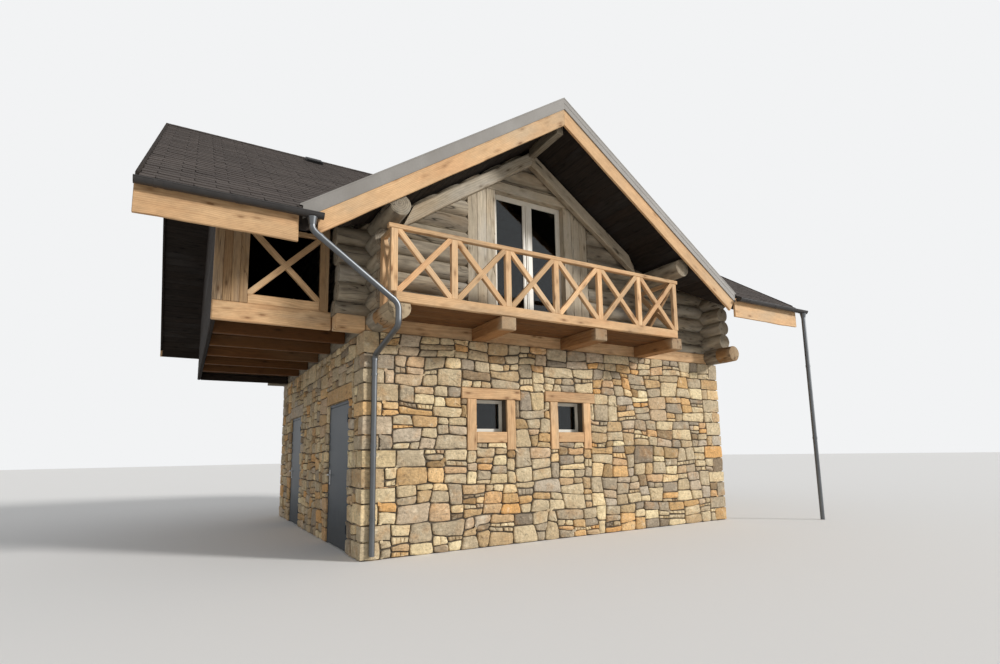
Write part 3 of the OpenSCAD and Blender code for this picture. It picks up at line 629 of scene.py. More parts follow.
# The sashes are painted softwood round sealed double panes, set back in the stone. The panes are dark from
# outside because the rooms behind them are: the glass is tinted grey, painted shade that stands for those dark
# rooms.
def cream_look(s):
    at = place(s)
    return at.cloud(9, 5).blend(paint("#cfc5b2"), paint("#eae4d6")), 0.42, at.cloud(60) * 0.0004


cream = finish("cream_paint", cream_look)
coat(cream, "window_frames")
# The glass's grey tint is painted shade of the dark rooms behind it.
coat(finish("window_glass", lambda s: (paint("#75858a"), 0.03, None), {"Transmission Weight": 1.0, "IOR": 1.5}),
     "window_glass", "french_door_glass")

# The two service doors are folded steel leaves in steel frames, painted a dull blue grey, each
# on two pin hinges with a satin lever handle. The CAD leaves, frames and levers are used as made.
def steel_look(s):
    at = place(s)
    cast, orange_peel = at.cloud(1.3, 3), at.cloud(220, 2)
    dust = ((at.part(2) * -1.6 + 0.75 + at.cloud(6) * 0.5) * 0.8).clamp()
    # The blue grey is darkened to the depth of the shade the doors stand in on the side wall: partly their own
    # dull paint, partly painted shade.
    colour = (dust * 0.25).blend(cast.blend(paint("#2c3339"), paint("#39424a")), paint("#6c655b"))
    return colour, 0.36 + dust * 0.3 + cast * 0.1, orange_peel * 0.0002


def lever_look(s):
    return paint("#b9babb"), 0.28 + place(s).cloud(90) * 0.15, None


coat(finish("door_steel", steel_look, {"Metallic": 0.15, "Specular IOR Level": 0.15}),
     "door_frames", "near_door", "far_door")
coat(finish("satin_steel", lever_look, {"Metallic": 1.0}), "near_door_handle", "far_door_handle")

# Inside, the ground floor is a trowelled concrete slab, used as made, and the log storey has a
# floor of larch boards that lie on the stone walls.
def slab_look(s):
    at = place(s)
    return at.cloud(3, 5).blend(paint("#7f7a72"), paint("#9a958c")), 0.85, at.cloud(70) * 0.002


coat(finish("concrete", slab_look), "ground_floor")
FLOOR_TOP, FLOOR_IN, FLOOR_BOARD = 3.20, 0.305, 0.145


def steps(start, end, pitch):
    """Places at an even pitch from start, up to end."""
    while start < end:
        yield start
        start += pitch


floor_boards = new_mesh()
for x in steps(WEST + FLOOR_IN, EAST - FLOOR_IN - 0.005, FLOOR_BOARD + 0.002):
    timber(floor_boards, (x, SOUTH + FLOOR_IN, STONE_TOP + 0.001),
           (min(x + FLOOR_BOARD, EAST - FLOOR_IN - 0.001), NORTH - FLOOR_IN, FLOOR_TOP))
piece("upper_floor_boards", floor_boards, larch, "planed_wood", "upper_floor")

# The upper walls are peeled logs that have weathered grey. Each course is notched over the one
# below, the log ends stand out past the crossings, and they crack as they dry. The gables' logs
# are sawn off along the boarding of the roof.
PITCH = math.radians(34.5)
SLOPE = math.tan(PITCH)
RIDGE, GABLE_RIDGE, GABLE_X = 7.1393, 6.70, -0.84
ROOF_DROP = 0.25 / math.cos(PITCH) + 0.001
LOG_D, COURSE, LOG_LOW = 0.30, 0.265, 3.149
LOG_X, LOG_Y, LOG_OUT = 3.39, 3.18, 0.39


def at_x(x, way):
    """An upright saw cut across X that takes off what lies to the left (-1) or the right (1)."""
    return Vector((x, 0, 0)), Vector((way, 0, 0))


def at_y(y, way):
    return Vector((0, y, 0)), Vector((0, way, 0))


def at_z(z, way):
    return Vector((0, 0, z)), Vector((0, 0, way))


def under_main(side):
    """The plane of the boarding under the front (-1) or the rear (1) slope."""
    return Vector((0, 0, RIDGE - ROOF_DROP)), Vector((0, side * math.sin(PITCH), math.cos(PITCH)))


def under_gable(side):
    """The plane of the boarding under the left (-1) or the right (1) slope of the cross gable."""
    return Vector((GABLE_X, 0, GABLE_RIDGE - ROOF_DROP)), Vector((side * math.sin(PITCH), 0, math.cos(PITCH)))


MAIN_SAWS, GABLE_SAWS = [under_main(-1), under_main(1)], [under_gable(-1), under_gable(1)]
grey_log = wood("grey_log", "#5e5347", "#b5a891", "#3b3026", "#8f7350", "#9b9891", figure=38, dapple=0.7,
                cracks=0.9, rough=0.8)


TAPER, ARRIS, KNOBS, SWAY = 0.012, 0.012, 0.05, 0.010


def log(mesh, start, end, saws=()):
    """A peeled log along X or Y, a little out of round, with broken edges at its ends."""
    start, end = Vector(start), Vector(end)
    length, along_x = (end - start).length, abs(end.x - start.x) > abs(end.y - start.y)
    part = bmesh.new()
    butt = stray(TAPER)
    bmesh.ops.create_cone(part, cap_ends=True, segments=20, radius1=LOG_D / 2 + butt, radius2=LOG_D / 2 - butt,
                          depth=length)
    rims = [e for e in part.edges if e.calc_face_angle(0) > 1.0]
    bmesh.ops.bevel(part, geom=rims, offset=ARRIS, segments=2, profile=0.5, affect="EDGES", material=-1)
    spans = max(1, int(length / 0.42))
    for i in range(1, spans):
        cut(part, (0, 0, length * (i / spans - 0.5)), UP)
    shift = stray(90)
    for v in part.verts:
        sway = noise.noise_vector(Vector((0, 0, v.co.z * 0.8 + shift))) * SWAY
        knobbly = 1 + noise.noise(Vector((v.co.x * 9, v.co.y * 9, v.co.z * 2.5 + shift))) * KNOBS
        v.co.x, v.co.y = v.co.x * knobbly + sway.x, v.co.y * knobbly + sway.y
    turn = moved(*(start + end) / 2) @ turned(math.pi / 2, "Y" if along_x else "X")
    heart = Vector((0, stray(0.03), stray(0.03)))
    settle(mesh, part, Vector(), 2, turn @ turned(rng.uniform(0, 6), "Z"), 0, saws, heart)


FRENCH_LEFT, FRENCH_RIGHT, FRENCH_TOP, POST_W = -1.464, -0.103, 5.565, 0.498
SILL_TOP, LINTEL_TOP = 3.22, 5.725
LINTEL_LEFT, LINTEL_RIGHT = FRENCH_LEFT - 0.246, FRENCH_RIGHT + 0.313
front_logs = new_mesh()
for k in range(12):
    z = LOG_LOW + (k + 0.5) * COURSE
    left, right, saws = WEST - LOG_OUT + stray(0.03), EAST + LOG_OUT + stray(0.03), []
    if k > 4:
        left, right, saws = max(left, GABLE_X - 3.0), min(right, GABLE_X + 3.0), GABLE_SAWS
    if k == 5:
        log(front_logs, (right - 0.3, -LOG_Y, z), (EAST + LOG_OUT, -LOG_Y, z), [under_main(-1)])
    if k == 0:
        saws = [at_z(SILL_TOP, -1)]
        log(front_logs, (LOG_X - 0.1, -LOG_Y, z), (right, -LOG_Y, z))
    if z < FRENCH_TOP + 0.05:
        lengths = [(left, FRENCH_LEFT - POST_W, []), (FRENCH_RIGHT + POST_W, right if k else LOG_X, [])]
    elif z < LINTEL_TOP:
        lengths = [(left, LINTEL_LEFT, []), (LINTEL_RIGHT, right, []),
                   (LINTEL_LEFT, LINTEL_RIGHT, [at_z(LINTEL_TOP, -1)])]
    else:
        lengths = [(left, right, [])]
    for a, b, extra in lengths:
        log(front_logs, (a, -LOG_Y, z), (b, -LOG_Y, z), saws + extra)
piece("logs_front", front_logs, grey_log, "weathered_wood", "front_logs", sharp=40)

rear_logs = new_mesh()
for k in range(-1, 6):
    z = LOG_LOW + (k + 0.5) * COURSE
    saws = [at_z(STONE_TOP, -1)] if k < 0 else [under_main(1)] if k > 3 else []
    log(rear_logs, (WEST - LOG_OUT, LOG_Y, z), (EAST + LOG_OUT, LOG_Y, z), saws)
piece("logs_rear", rear_logs, grey_log, "weathered_wood", "rear_logs", sharp=40)

PLATE_OUT = 0.93
for name, node, x, under_front in (("logs_left", "left_logs", -LOG_X, under_gable(-1)),
                                   ("logs_right", "right_logs", LOG_X, under_main(-1))):
    logs = new_mesh()
    for k in range(15):
        z = LOG_LOW + k * COURSE
        out = LOG_OUT + stray(0.02) if k <= 5 else 0
        if k == 5 and x < 0:
            out = PLATE_OUT
        saws = [under_main(1), under_front if k <= 5 else under_main(-1)]
        log(logs, (x, SOUTH - out, z), (x, NORTH + LOG_OUT, z), saws if k > 3 else [])
    piece(name, logs, grey_log, "weathered_wood", node, sharp=40)

# The lowest logs of the two side walls reach out as consoles. The left one carries the balcony's
# end and is dressed flat on top. Rain has silvered only their ends.
CONSOLE, RIGHT_CONSOLE, DECK_LOW = 0.905, 0.60, 3.207
console_wood = wood("console_wood", "#6a4c30", "#a5825a", "#402a17", "#8c6238", "#8f8473", figure=38,
                    dapple=0.6, cracks=0.8, rough=0.78, worn=-3.80)
consoles = new_mesh()
for x, out, saws in ((-LOG_X, CONSOLE, [at_z(DECK_LOW, 1)]), (LOG_X, RIGHT_CONSOLE, [])):
    log(consoles, (x, SOUTH - out, LOG_LOW), (x, SOUTH - LOG_OUT + 0.1, LOG_LOW), saws)
piece("console_logs", consoles, console_wood, "weathered_wood", sharp=40)

# Under the cross gable the right wall plate and a squared ridge beam reach out from the house,
# and a pair of peeled rafters leans against the gable wall, sawn plumb where they meet.
plates = new_mesh()
PLATE_Z, PURLIN_X = LOG_LOW + 5 * COURSE, 2 * GABLE_X + LOG_X
BEAM_W, BEAM_D, BEAM_TOP = 0.12, 0.19, GABLE_RIDGE - ROOF_DROP
log(plates, (PURLIN_X, SOUTH - PLATE_OUT, PLATE_Z), (PURLIN_X, NORTH + LOG_OUT, PLATE_Z),
    [under_gable(1), under_main(1)])
timber(plates, (GABLE_X - BEAM_W / 2, SOUTH - PLATE_OUT, BEAM_TOP - BEAM_D),
       (GABLE_X + BEAM_W / 2, SOUTH - 0.137, BEAM_TOP + 0.03), ease=0.006, saws=GABLE_SAWS)
piece("plate_and_ridge_beam", plates, grey_log, "weathered_wood", "purlins", sharp=40)


def gable_lean(side, drop=0):
    """Lays a board, drawn along X, down the left (-1) or the right (1) slope of the cross gable."""
    return moved(GABLE_X, 0, GABLE_RIDGE - drop) @ turned(side * PITCH, "Y")


weathered = wood("weathered_boards", "#857867", "#cfc0a6", "#55442f", "#b09470", "#bab4a8", figure=48,
                 dapple=0.55, cracks=0.8, rough=0.8)
rafters = new_mesh()
RAFTER_D, RAFTER_T, RAFTER_GAP, RAFTER_L, PAST_RIDGE = 0.20, 0.13, 0.069, 2.9, 0.3
RAFTER_FOOT, FOOT_LEAN = 2.06, 0.17
for side in (-1, 1):
    drop, (left, right) = ROOF_DROP + RAFTER_GAP, sorted((-side * PAST_RIDGE, side * RAFTER_L))
    foot = Vector((side * RAFTER_FOOT, 0, -RAFTER_FOOT * SLOPE)) + Vector((GABLE_X, 0, GABLE_RIDGE - drop))
    foot_cut = Vector((side * (FOOT_LEAN * SLOPE + RAFTER_D / math.cos(PITCH)), 0, FOOT_LEAN))
    timber(rafters, (left, SOUTH - 0.002 - RAFTER_T, -RAFTER_D), (right, SOUTH - 0.002, 0),
           gable_lean(side, drop), ease=0.02, cuts=9, ragged=0.012,
           saws=[at_x(GABLE_X, -side), (foot, foot_cut)])
piece("gable_rafter_pair", rafters, weathered, "weathered_wood", "gable_rafters")

# The French door stands between wide posts of upright planks under a plank lintel, on a squared
# sill. Its painted leaves meet in a rebated stile, and have a bead and a drip rail at each pane.
posts = new_mesh()
PLANK_T, PLANK_JOINTS = 0.23, (0, 0.17, 0.335, POST_W)
plank_y = SOUTH + (LOG_D - PLANK_T) / 2
for left in (FRENCH_LEFT - POST_W, FRENCH_RIGHT):
    for a, b in zip(PLANK_JOINTS, PLANK_JOINTS[1:]):
        timber(posts, (left + a + 0.001, plank_y, SILL_TOP), (left + b - 0.001, plank_y + PLANK_T, FRENCH_TOP),
               ease=0.006, cuts=5, ragged=0.004, saws=GABLE_SAWS)
piece("door_post_planks", posts, weathered, "weathered_wood", "french_door_posts")
lintel = new_mesh()
timber(lintel, (LINTEL_LEFT, plank_y - 0.01, FRENCH_TOP), (LINTEL_RIGHT, plank_y + PLANK_T, LINTEL_TOP),
       ease=0.008, cuts=6, ragged=0.006, saws=GABLE_SAWS)
piece("door_lintel", lintel, weathered, "weathered_wood", "french_door_lintel")

leaves = new_mesh()
LEAF_Y, LEAF_T, STILE, PANE_LOW, BEAD = SOUTH + 0.15, 0.06, 0.075, 3.489, 0.014
PANE_TOP, GROOVE = FRENCH_TOP - STILE, (FRENCH_LEFT + FRENCH_RIGHT) / 2 - 0.035
left, right, groove = FRENCH_LEFT + STILE, FRENCH_RIGHT - STILE, GROOVE + 0.005
for xa, xb, za, zb, proud in (
        (FRENCH_LEFT, left, SILL_TOP, FRENCH_TOP, 0), (right, FRENCH_RIGHT, SILL_TOP, FRENCH_TOP, 0),
        (left, right, PANE_TOP, FRENCH_TOP, 0),
        (left, GROOVE, SILL_TOP, PANE_LOW, 0), (groove, right, SILL_TOP, PANE_LOW, 0.004),
        (GROOVE - 0.04, GROOVE, PANE_LOW, PANE_TOP, 0), (groove, GROOVE + 0.12, PANE_LOW, PANE_TOP, 0.010),
        (GROOVE + 0.03, GROOVE + 0.065, SILL_TOP + 0.02, PANE_TOP, 0.018)):
    timber(leaves, (xa, LEAF_Y - proud, za), (xb, LEAF_Y + LEAF_T, zb), ease=0.004)
for xa, xb in ((left, GROOVE - 0.04), (GROOVE + 0.12, right)):
    for a, b, za, zb in ((xa, xa + BEAD, PANE_LOW, PANE_TOP), (xb - BEAD, xb, PANE_LOW, PANE_TOP),
                         (xa, xb, PANE_LOW, PANE_LOW + BEAD), (xa, xb, PANE_TOP - BEAD, PANE_TOP)):
        timber(leaves, (a, LEAF_Y + 0.004, za), (b, LEAF_Y + 0.019, zb), ease=0.003)
    timber(leaves, (xa - 0.01, LEAF_Y - 0.022, PANE_LOW - 0.06),
           (xb + 0.01, LEAF_Y, PANE_LOW - 0.03), ease=0.008)
piece("french_door_leaves", leaves, cream, "window_wood", "french_door_frame")

sill = new_mesh()
timber(sill, (WEST + 0.01, SOUTH - 0.004, STONE_TOP), (LOG_X + 0.05, SOUTH + LOG_D, SILL_TOP),
       ease=0.01, cuts=12, ragged=0.006)
timber(sill, (WEST - LOG_OUT, SOUTH, STONE_TOP), (WEST, SOUTH + 0.255, SILL_TOP),
       ease=0.01, cuts=2, ragged=0.004)
piece("front_sill_beam", sill, larch, "planed_wood", "front_sill")

# The roof is a boarded deck with asphalt shingles. Boards as dark as tar show under the eaves and run along
# each slope's ridge: a dark stain, deepened as painted shade of the eaves. Above them is the deck, and on it
# are nailed rows of shingle tabs, each row lapping over the one below, with bent caps on the ridges.
EAVE_Y, FASCIA_Y, ROOF_LEFT, ROOF_RIGHT, BOARD, VALLEY_Y = -4.425, -4.38, -6.144, 4.76, 0.04, -0.6392
ROOF_T, EAVE_T, SHINGLE_BED, SOFFIT_T, SOFFIT_BOARD = 0.25, 0.0494, 0.020, 0.022, 0.158
# These boards are near black: a dark stain, deepened as painted shade of the eaves, the roof ends and the bay
# where they are used.
tarred_and_shaded = wood("tarred_boards_painted_shade", "#1d1917", "#38312b", "#120f0d", "#32261d", "#3d3b39",
              fixed={"Specular IOR Level": 0.12}, figure=50, dapple=0.6, rough=0.8)


def shingle_look(s):
    at = place(s)
    tone = s.node("Attribute", out=2, attribute_name="tone")
    grain, patch = at.cloud(330, 2), at.cloud(1.3, 4)
    colour = (tone * 0.20 + grain * 0.42 + patch * 0.38).blend(paint("#272321"), paint("#625953"))
    return (at.cloud(4, 5).over(0.60, 6) * 0.25).blend(colour, paint("#756d65")), 0.92, grain * 0.0012


shingle = finish("shingles", shingle_look, DULL)


def valley(side):
    """The upright plane of a valley of the cross gable; its normal points to the main slope."""
    return Vector((GABLE_X, VALLEY_Y, 0)), Vector((side, 1, 0)).normalized()


def from_behind(plane):
    return plane[0], -plane[1]


def slope_turn(x, z, heading):
    return moved(x, 0, z) @ turned(math.radians(heading), "Z") @ turned(PITCH, "X")


front, rear = slope_turn(0, RIDGE, 0), slope_turn(0, RIDGE, 180)
gable_left, gable_right = slope_turn(GABLE_X, GABLE_RIDGE, -90), slope_turn(GABLE_X, GABLE_RIDGE, 90)
west, east, verge_y = ROOF_LEFT + BOARD, ROOF_RIGHT - BOARD, FASCIA_Y + BOARD
main_down, gable_down = -EAVE_Y / math.cos(PITCH), (VALLEY_Y - verge_y) / math.cos(PITCH)
SLOPES = (
    ("front_left", "roof_front_left", front, west, GABLE_X, main_down, [from_behind(valley(-1))],
     at_y(0, 1), [at_y(verge_y, -1)]),
    ("front_right", "roof_front_right", front, GABLE_X, east, main_down, [from_behind(valley(1))],
     at_y(0, 1), [at_y(verge_y, -1)]),
    ("rear", "roof_rear", rear, -east, -west, main_down, [], at_y(0, -1), [at_y(-verge_y, 1)]),
    ("gable_left", "cross_roof_left", gable_left, -VALLEY_Y, -verge_y, gable_down, [valley(-1)],
     at_x(GABLE_X, 1), []),
    ("gable_right", "cross_roof_right", gable_right, verge_y, VALLEY_Y, gable_down, [valley(1)],
     at_x(GABLE_X, -1), []),
)
TAB_W, TAB_SHOW, TAB_LAP, TAB_T, TAB_FOOT, TAB_GAP = 0.333, 0.143, 0.055, 0.007, 0.009, 0.006
TAB_H = TAB_SHOW + TAB_LAP
tab = bmesh.new()
bmesh.ops.create_grid(tab, x_segments=1, y_segments=1, size=0.5,
                      matrix=moved(0, TAB_H / 2, 0) @ sized(TAB_W - TAB_GAP, TAB_H, 1))
bmesh.ops.bevel(tab, geom=[v for v in tab.verts if v.co.y < 0.01], offset=0.034, segments=2, profile=0.5,
                affect="VERTICES", material=-1)
bmesh.ops.solidify(tab, geom=tab.faces, thickness=TAB_T)
bmesh.ops.recalc_face_normals(tab, faces=tab.faces)
tab.faces.layers.float.new("tone")
tab_mesh = bpy.data.meshes.new("tab")
tab.to_mesh(tab_mesh)
tab.free()
tab_lean = turned(-math.atan(TAB_FOOT / TAB_H), "X")


def lay_tab(row, turn, tone):
    tab_mesh.attributes["tone"].data.foreach_set("value", [tone] * len(tab_mesh.polygons))
    tab_mesh.transform(turn)
    row.from_mesh(tab_mesh)
    tab_mesh.transform(turn.inverted())


def tone_mesh():
    mesh = bmesh.new()
    mesh.faces.layers.float.new("tone")
    return mesh


for name, node, turn, xa, xb, down, valleys, ridge, eave in SLOPES:
    deck, saws = new_mesh(), valleys + [ridge]
    timber(deck, (xa, -down, -EAVE_T), (xb, 0.4, -SHINGLE_BED), turn, ease=0.002, saws=saws)
    timber(deck, (xa, -down - 0.3, -ROOF_T + SOFFIT_T), (xb, 0.4, -EAVE_T), turn, ease=0.001, saws=saws + eave)
    y = -ROOF_T * SLOPE
    while y > -down - 0.2:
        timber(deck, (xa, y - SOFFIT_BOARD, -ROOF_T), (xb, y, -ROOF_T + SOFFIT_T + 0.001), turn,
               saws=saws + eave)
        y -= SOFFIT_BOARD + 0.002
    piece("deck_" + name, deck, tarred_and_shaded, "dark_boards", node)
    cover = tone_mesh()
    for r in range(int(down / TAB_SHOW) + 1):
        row, y = tone_mesh(), -down + r * TAB_SHOW - 0.004
        for x in steps(xa - TAB_W * (0.5 if r % 2 else 0.1), xb + TAB_W, TAB_W):
            lift = rng.choice((0, 0, 0.0018))
            lay_tab(row, moved(x + stray(0.003), y + stray(0.003), lift - TAB_FOOT) @ tab_lean, rng.random())
        saw_off(row, [at_x(xa, -1), at_x(xb, 1), at_y(-0.002, 1)])
        bmesh.ops.transform(row, matrix=turn, verts=row.verts)
        saw_off(row, valleys)
        merge(cover, row)
    piece("shingles_" + name, cover, shingle, "shingle", sharp=25)

caps = tone_mesh()
CAP_W, CAP_L, CAP_T, CAP_SHOW = 0.13, 0.195, 0.005, 0.15
for turns, start, end in (((front, rear), ROOF_LEFT + 0.005, ROOF_RIGHT - 0.2),
                          ((gable_left, gable_right), -VALLEY_Y + 0.12, -verge_y - 0.2)):
    for x in steps(start, end, CAP_SHOW):
        tone = rng.random()
        for turn, mirror in zip(turns, (1, -1)):
            cap = tone_mesh()
            bmesh.ops.create_cube(cap, size=1, matrix=turn @ moved(mirror * (x + 0.1), -CAP_W / 2, -CAP_T)
                                  @ turned(mirror * -0.018, "Y") @ sized(CAP_L, CAP_W, CAP_T))
            for f in cap.faces:
                f[cap.faces.layers.float["tone"]] = tone
            merge(caps, cap)
piece("ridge_caps", caps, shingle, "shingle")

# The eaves carry broad larch fascias, and the cross gable larch bargeboards that meet in a plumb
# joint. Dark verge boards close the two ends of the main roof.
FASCIA_TOP, FASCIA_LOW, FOOT_LEFT, FOOT_RIGHT = 4.0686, 3.7136, -4.6128, 2.8908
fascias = new_mesh()
for xa, xb, y in ((ROOF_LEFT, FOOT_LEFT, FASCIA_Y), (FOOT_RIGHT, ROOF_RIGHT, FASCIA_Y),
                  (ROOF_LEFT, ROOF_RIGHT, -verge_y)):
    timber(fascias, (xa, y, FASCIA_LOW), (xb, y + BOARD, FASCIA_TOP),
           ease=0.005, cuts=int((xb - xa) * 4), ragged=0.015)
piece("fascia_boards", fascias, larch, "planed_wood", "fascias")
# A near black board lining the inner face of the rear fascia is painted shade: it stands for the shade on that
# face, seen from the front.
shade_lining = new_mesh()
timber(shade_lining, (west, -verge_y - 0.014, FASCIA_LOW - 0.001), (east, -verge_y - 0.001, FASCIA_TOP - 0.01),
       ease=0.002, cuts=30, ragged=0.006)
piece("rear_fascia_shade_sheet", shade_lining, tarred_and_shaded, "dark_boards")

BARGE_H, BARGE_L, BARGE_LEFT, BARGE_RIGHT = 0.343, 4.6, 3.5648, 3.7288
barges = new_mesh()
for side, foot in ((-1, BARGE_LEFT), (1, BARGE_RIGHT)):
    a, b = sorted((-side * PAST_RIDGE, side * BARGE_L))
    timber(barges, (a, FASCIA_Y, -BARGE_H), (b, verge_y, 0), gable_lean(side), ease=0.005, cuts=18,
           ragged=0.006, saws=[at_x(GABLE_X + side * 0.001, -side), at_x(GABLE_X + side * foot, side)])
piece("barge_boards", barges, larch, "planed_wood", "bargeboards")

verges = new_mesh()
VERGE_H, VERGE_L = 0.285, 5.4
for x in (ROOF_LEFT, ROOF_RIGHT - BOARD):
    for turn, side, left in ((front, -1, x), (rear, 1, -x - BOARD)):
        timber(verges, (left + 0.001, -VERGE_L, -VERGE_H), (left + BOARD - 0.001, PAST_RIDGE, -0.001), turn,
               cuts=9, ragged=0.003, saws=[at_y(side * 0.001, -side), at_y(side * -verge_y, side)])
piece("verge_cover_boards", verges, tarred_and_shaded, "dark_boards", "verge_boards")

# A folded sheet-metal verge trim, once galvanised and now dull grey, covers the shingle ends of
# the cross gable. It has a hem below, a folded edge above, and laps over the shingles at its foot.
def trim_look(s):
    at = place(s)
    spangle, dirt = at.cloud(38, 3), at.stretch(1, 1, 0.6).cloud(3.5, 5)
    colour = spangle.blend(paint("#77736d"), paint("#8b867f"))
    return dirt.over(0.35, 1.3).blend(colour, paint("#69635b")), 0.52 + spangle * 0.2, spangle * 0.0004


trims = new_mesh()
FOOT, LAP, LAP_LOW, TRIM_T, TRIM_L = 3.7358, 3.7708, 4.131, 0.012, 4.8
TRIM_FACE = FASCIA_Y - TRIM_T
STRIPS = [(TRIM_FACE, FASCIA_Y, -0.13, 0.03), (TRIM_FACE - 0.004, TRIM_FACE, -0.13, -0.116),
          (TRIM_FACE - 0.003, TRIM_FACE, 0.012, 0.03), (TRIM_FACE, FASCIA_Y + 0.052, 0.024, 0.030),
          (FASCIA_Y + 0.046, FASCIA_Y + 0.052, -0.012, 0.030), (TRIM_FACE - 0.003, TRIM_FACE, -0.052, -0.040)]
for side in (-1, 1):
    a, b = sorted((-side * PAST_RIDGE, side * TRIM_L))
    mitre, foot = at_x(GABLE_X + side * 0.0005, -side), at_x(GABLE_X + side * FOOT, side)
    lap = [from_behind(foot), at_z(LAP_LOW, -1), at_x(GABLE_X + side * LAP, side)]
    for ya, yb, za, zb in STRIPS if side > 0 else STRIPS[:-1]:
        for saws in [mitre, foot], lap:
            timber(trims, (a, ya, za), (b, yb, zb), gable_lean(side), ease=0.0012, saws=saws)
piece("verge_trim_metal", trims, finish("verge_metal", trim_look, {"Metallic": 0.2}), "verge_metal",
      "verge_trims", sharp=20)

# The gutters are half-round, dark coated metal with a rolled front bead, held by brackets and
# joined by sleeves. They hang level along the eaves and are closed at both ends.
GUTTER_Y, GUTTER_Z, GUTTER_R, GUTTER_T = -4.457, 4.036, 0.063, 0.003


def gutter_look(s):
    dust = place(s).cloud(7, 5)
    return dust.blend(paint("#252323"), paint("#403c39")), 0.34 + dust * 0.25, None


def rod(mesh, start, end, radius, top=None, sides=16):
    """A round rod, or a taper, between two points."""
    start, end = Vector(start), Vector(end)
    turn = moved(*(start + end) / 2) @ (end - start).to_track_quat("Z", "Y").to_matrix().to_4x4()
    bmesh.ops.create_cone(mesh, cap_ends=True, segments=sides, radius1=radius, radius2=top or radius,
                          depth=(end - start).length, matrix=turn)


def half_pipe(mesh, xa, xb, radius, thick, side, capped=False):
    """A half-round channel along X, open on top, with its rim at the gutter's height."""
    part, y = bmesh.new(), side * -GUTTER_Y
    bmesh.ops.create_circle(part, cap_ends=False, radius=radius - thick, segments=32,
                            matrix=moved(xa, y, GUTTER_Z) @ turned(math.pi / 2, "Y"))
    cut(part, (0, 0, GUTTER_Z), UP, clear=True)
    for v in bmesh.ops.extrude_edge_only(part, edges=part.edges)["geom"]:
        if isinstance(v, bmesh.types.BMVert):
            v.co.x = xb
    bmesh.ops.recalc_face_normals(part, faces=part.faces)
    bmesh.ops.solidify(part, geom=part.faces, thickness=thick)
    for x in (xa, xb - thick) if capped else ():
        cap = bmesh.new()
        rod(cap, (x, y, GUTTER_Z), (x + thick, y, GUTTER_Z), radius, sides=32)
        saw_off(cap, [at_z(GUTTER_Z, 1)])
        merge(part, cap)
    merge(mesh, part)


gutters = bmesh.new()
BEAD_R, BRACKET_IN, BRACKET_GAP, SLEEVE_IN, REAR_LENGTH = 0.0085, 0.18, 0.75, 0.29, 2.3
rear_sleeves = [ROOF_LEFT + SLEEVE_IN + REAR_LENGTH * i for i in range(5)]
for xa, xb, side in ((ROOF_LEFT, FOOT_LEFT + 0.25, -1), (FOOT_RIGHT + 0.02, ROOF_RIGHT + 0.22, -1),
                     (ROOF_LEFT, ROOF_RIGHT, 1)):
    half_pipe(gutters, xa, xb, GUTTER_R - GUTTER_T, GUTTER_T, side, capped=True)
    rim, bead_z = side * (-GUTTER_Y + GUTTER_R - 0.010), GUTTER_Z - 0.004
    rod(gutters, (xa, rim, bead_z), (xb, rim, bead_z), BEAD_R)
    brackets = max(2, round((xb - xa) / BRACKET_GAP))
    for i in range(brackets):
        x = xa + BRACKET_IN + (xb - xa - 2 * BRACKET_IN) * i / (brackets - 1)
        half_pipe(gutters, x - 0.014, x + 0.014, GUTTER_R - 0.0005, 0.0025, side)
    for x in rear_sleeves if side > 0 else (xa + SLEEVE_IN, xa + (xb - xa) * 0.52):
        half_pipe(gutters, x - 0.035, x + 0.035, GUTTER_R - 0.0015, 0.0015, side)
piece("gutter_runs", gutters, finish("gutter_metal", gutter_look, {"Metallic": 0.3}), "gutter_metal",
      "gutters", sharp=40)

# Zinc-grey rain pipes lead down from funnel outlets under the gutters. Two turn in over the log
# ends to the corners of the stone storey, where clips hold them, and one drops straight.
def pipe_look(s):
    at = place(s)
    cast, drip = at.cloud(3, 4), at.stretch(14, 14, 0.8).cloud(1, 4)
    return (cast * 0.6 + drip * 0.4).blend(paint("#4f5152"), paint("#77797b")), 0.30 + cast * 0.2, drip * 0.0004


def rounded(points, bend=0.08, turns=7):
    """The pipe's middle line, with each corner rounded."""
    line = [points[0]]
    for a, b, c in zip(points, points[1:], points[2:]):
        ins, outs = (b + (p - b).normalized() * min(bend, (p - b).length / 2.1) for p in (a, c))
        line += [ins.lerp(b, i / turns).lerp(b.lerp(outs, i / turns), i / turns) for i in range(turns + 1)]
    return line + [points[-1]]


def add_tube(mesh, line, radius):
    curve = bpy.data.curves.new("tube", "CURVE")
    curve.dimensions, curve.bevel_depth, curve.bevel_resolution, curve.use_fill_caps = "3D", radius, 5, True
    spline = curve.splines.new("POLY")
    spline.points.add(len(line) - 1)
    for point, spot in zip(spline.points, line):
        point.co = (*spot, 1)
    holder = bpy.data.objects.new("tube", curve)
    mesh.from_mesh(bpy.data.meshes.new_from_object(holder))
    bpy.data.objects.remove(holder)


PIPE_R, OUTLET_Z, PIPE_X, WALL_GAP = 0.038, 3.971, -3.425, 0.065
pipes = bmesh.new()


def funnel(x, y):
    rod(pipes, (x, y, OUTLET_Z - 0.075), (x, y, OUTLET_Z + 0.012), PIPE_R + 0.002, 0.055, 20)


def collars(x, y, heights, tall=0.05, wider=0.004):
    for z in heights:
        rod(pipes, (x, y, z), (x, y, z + tall), PIPE_R + wider, sides=20)


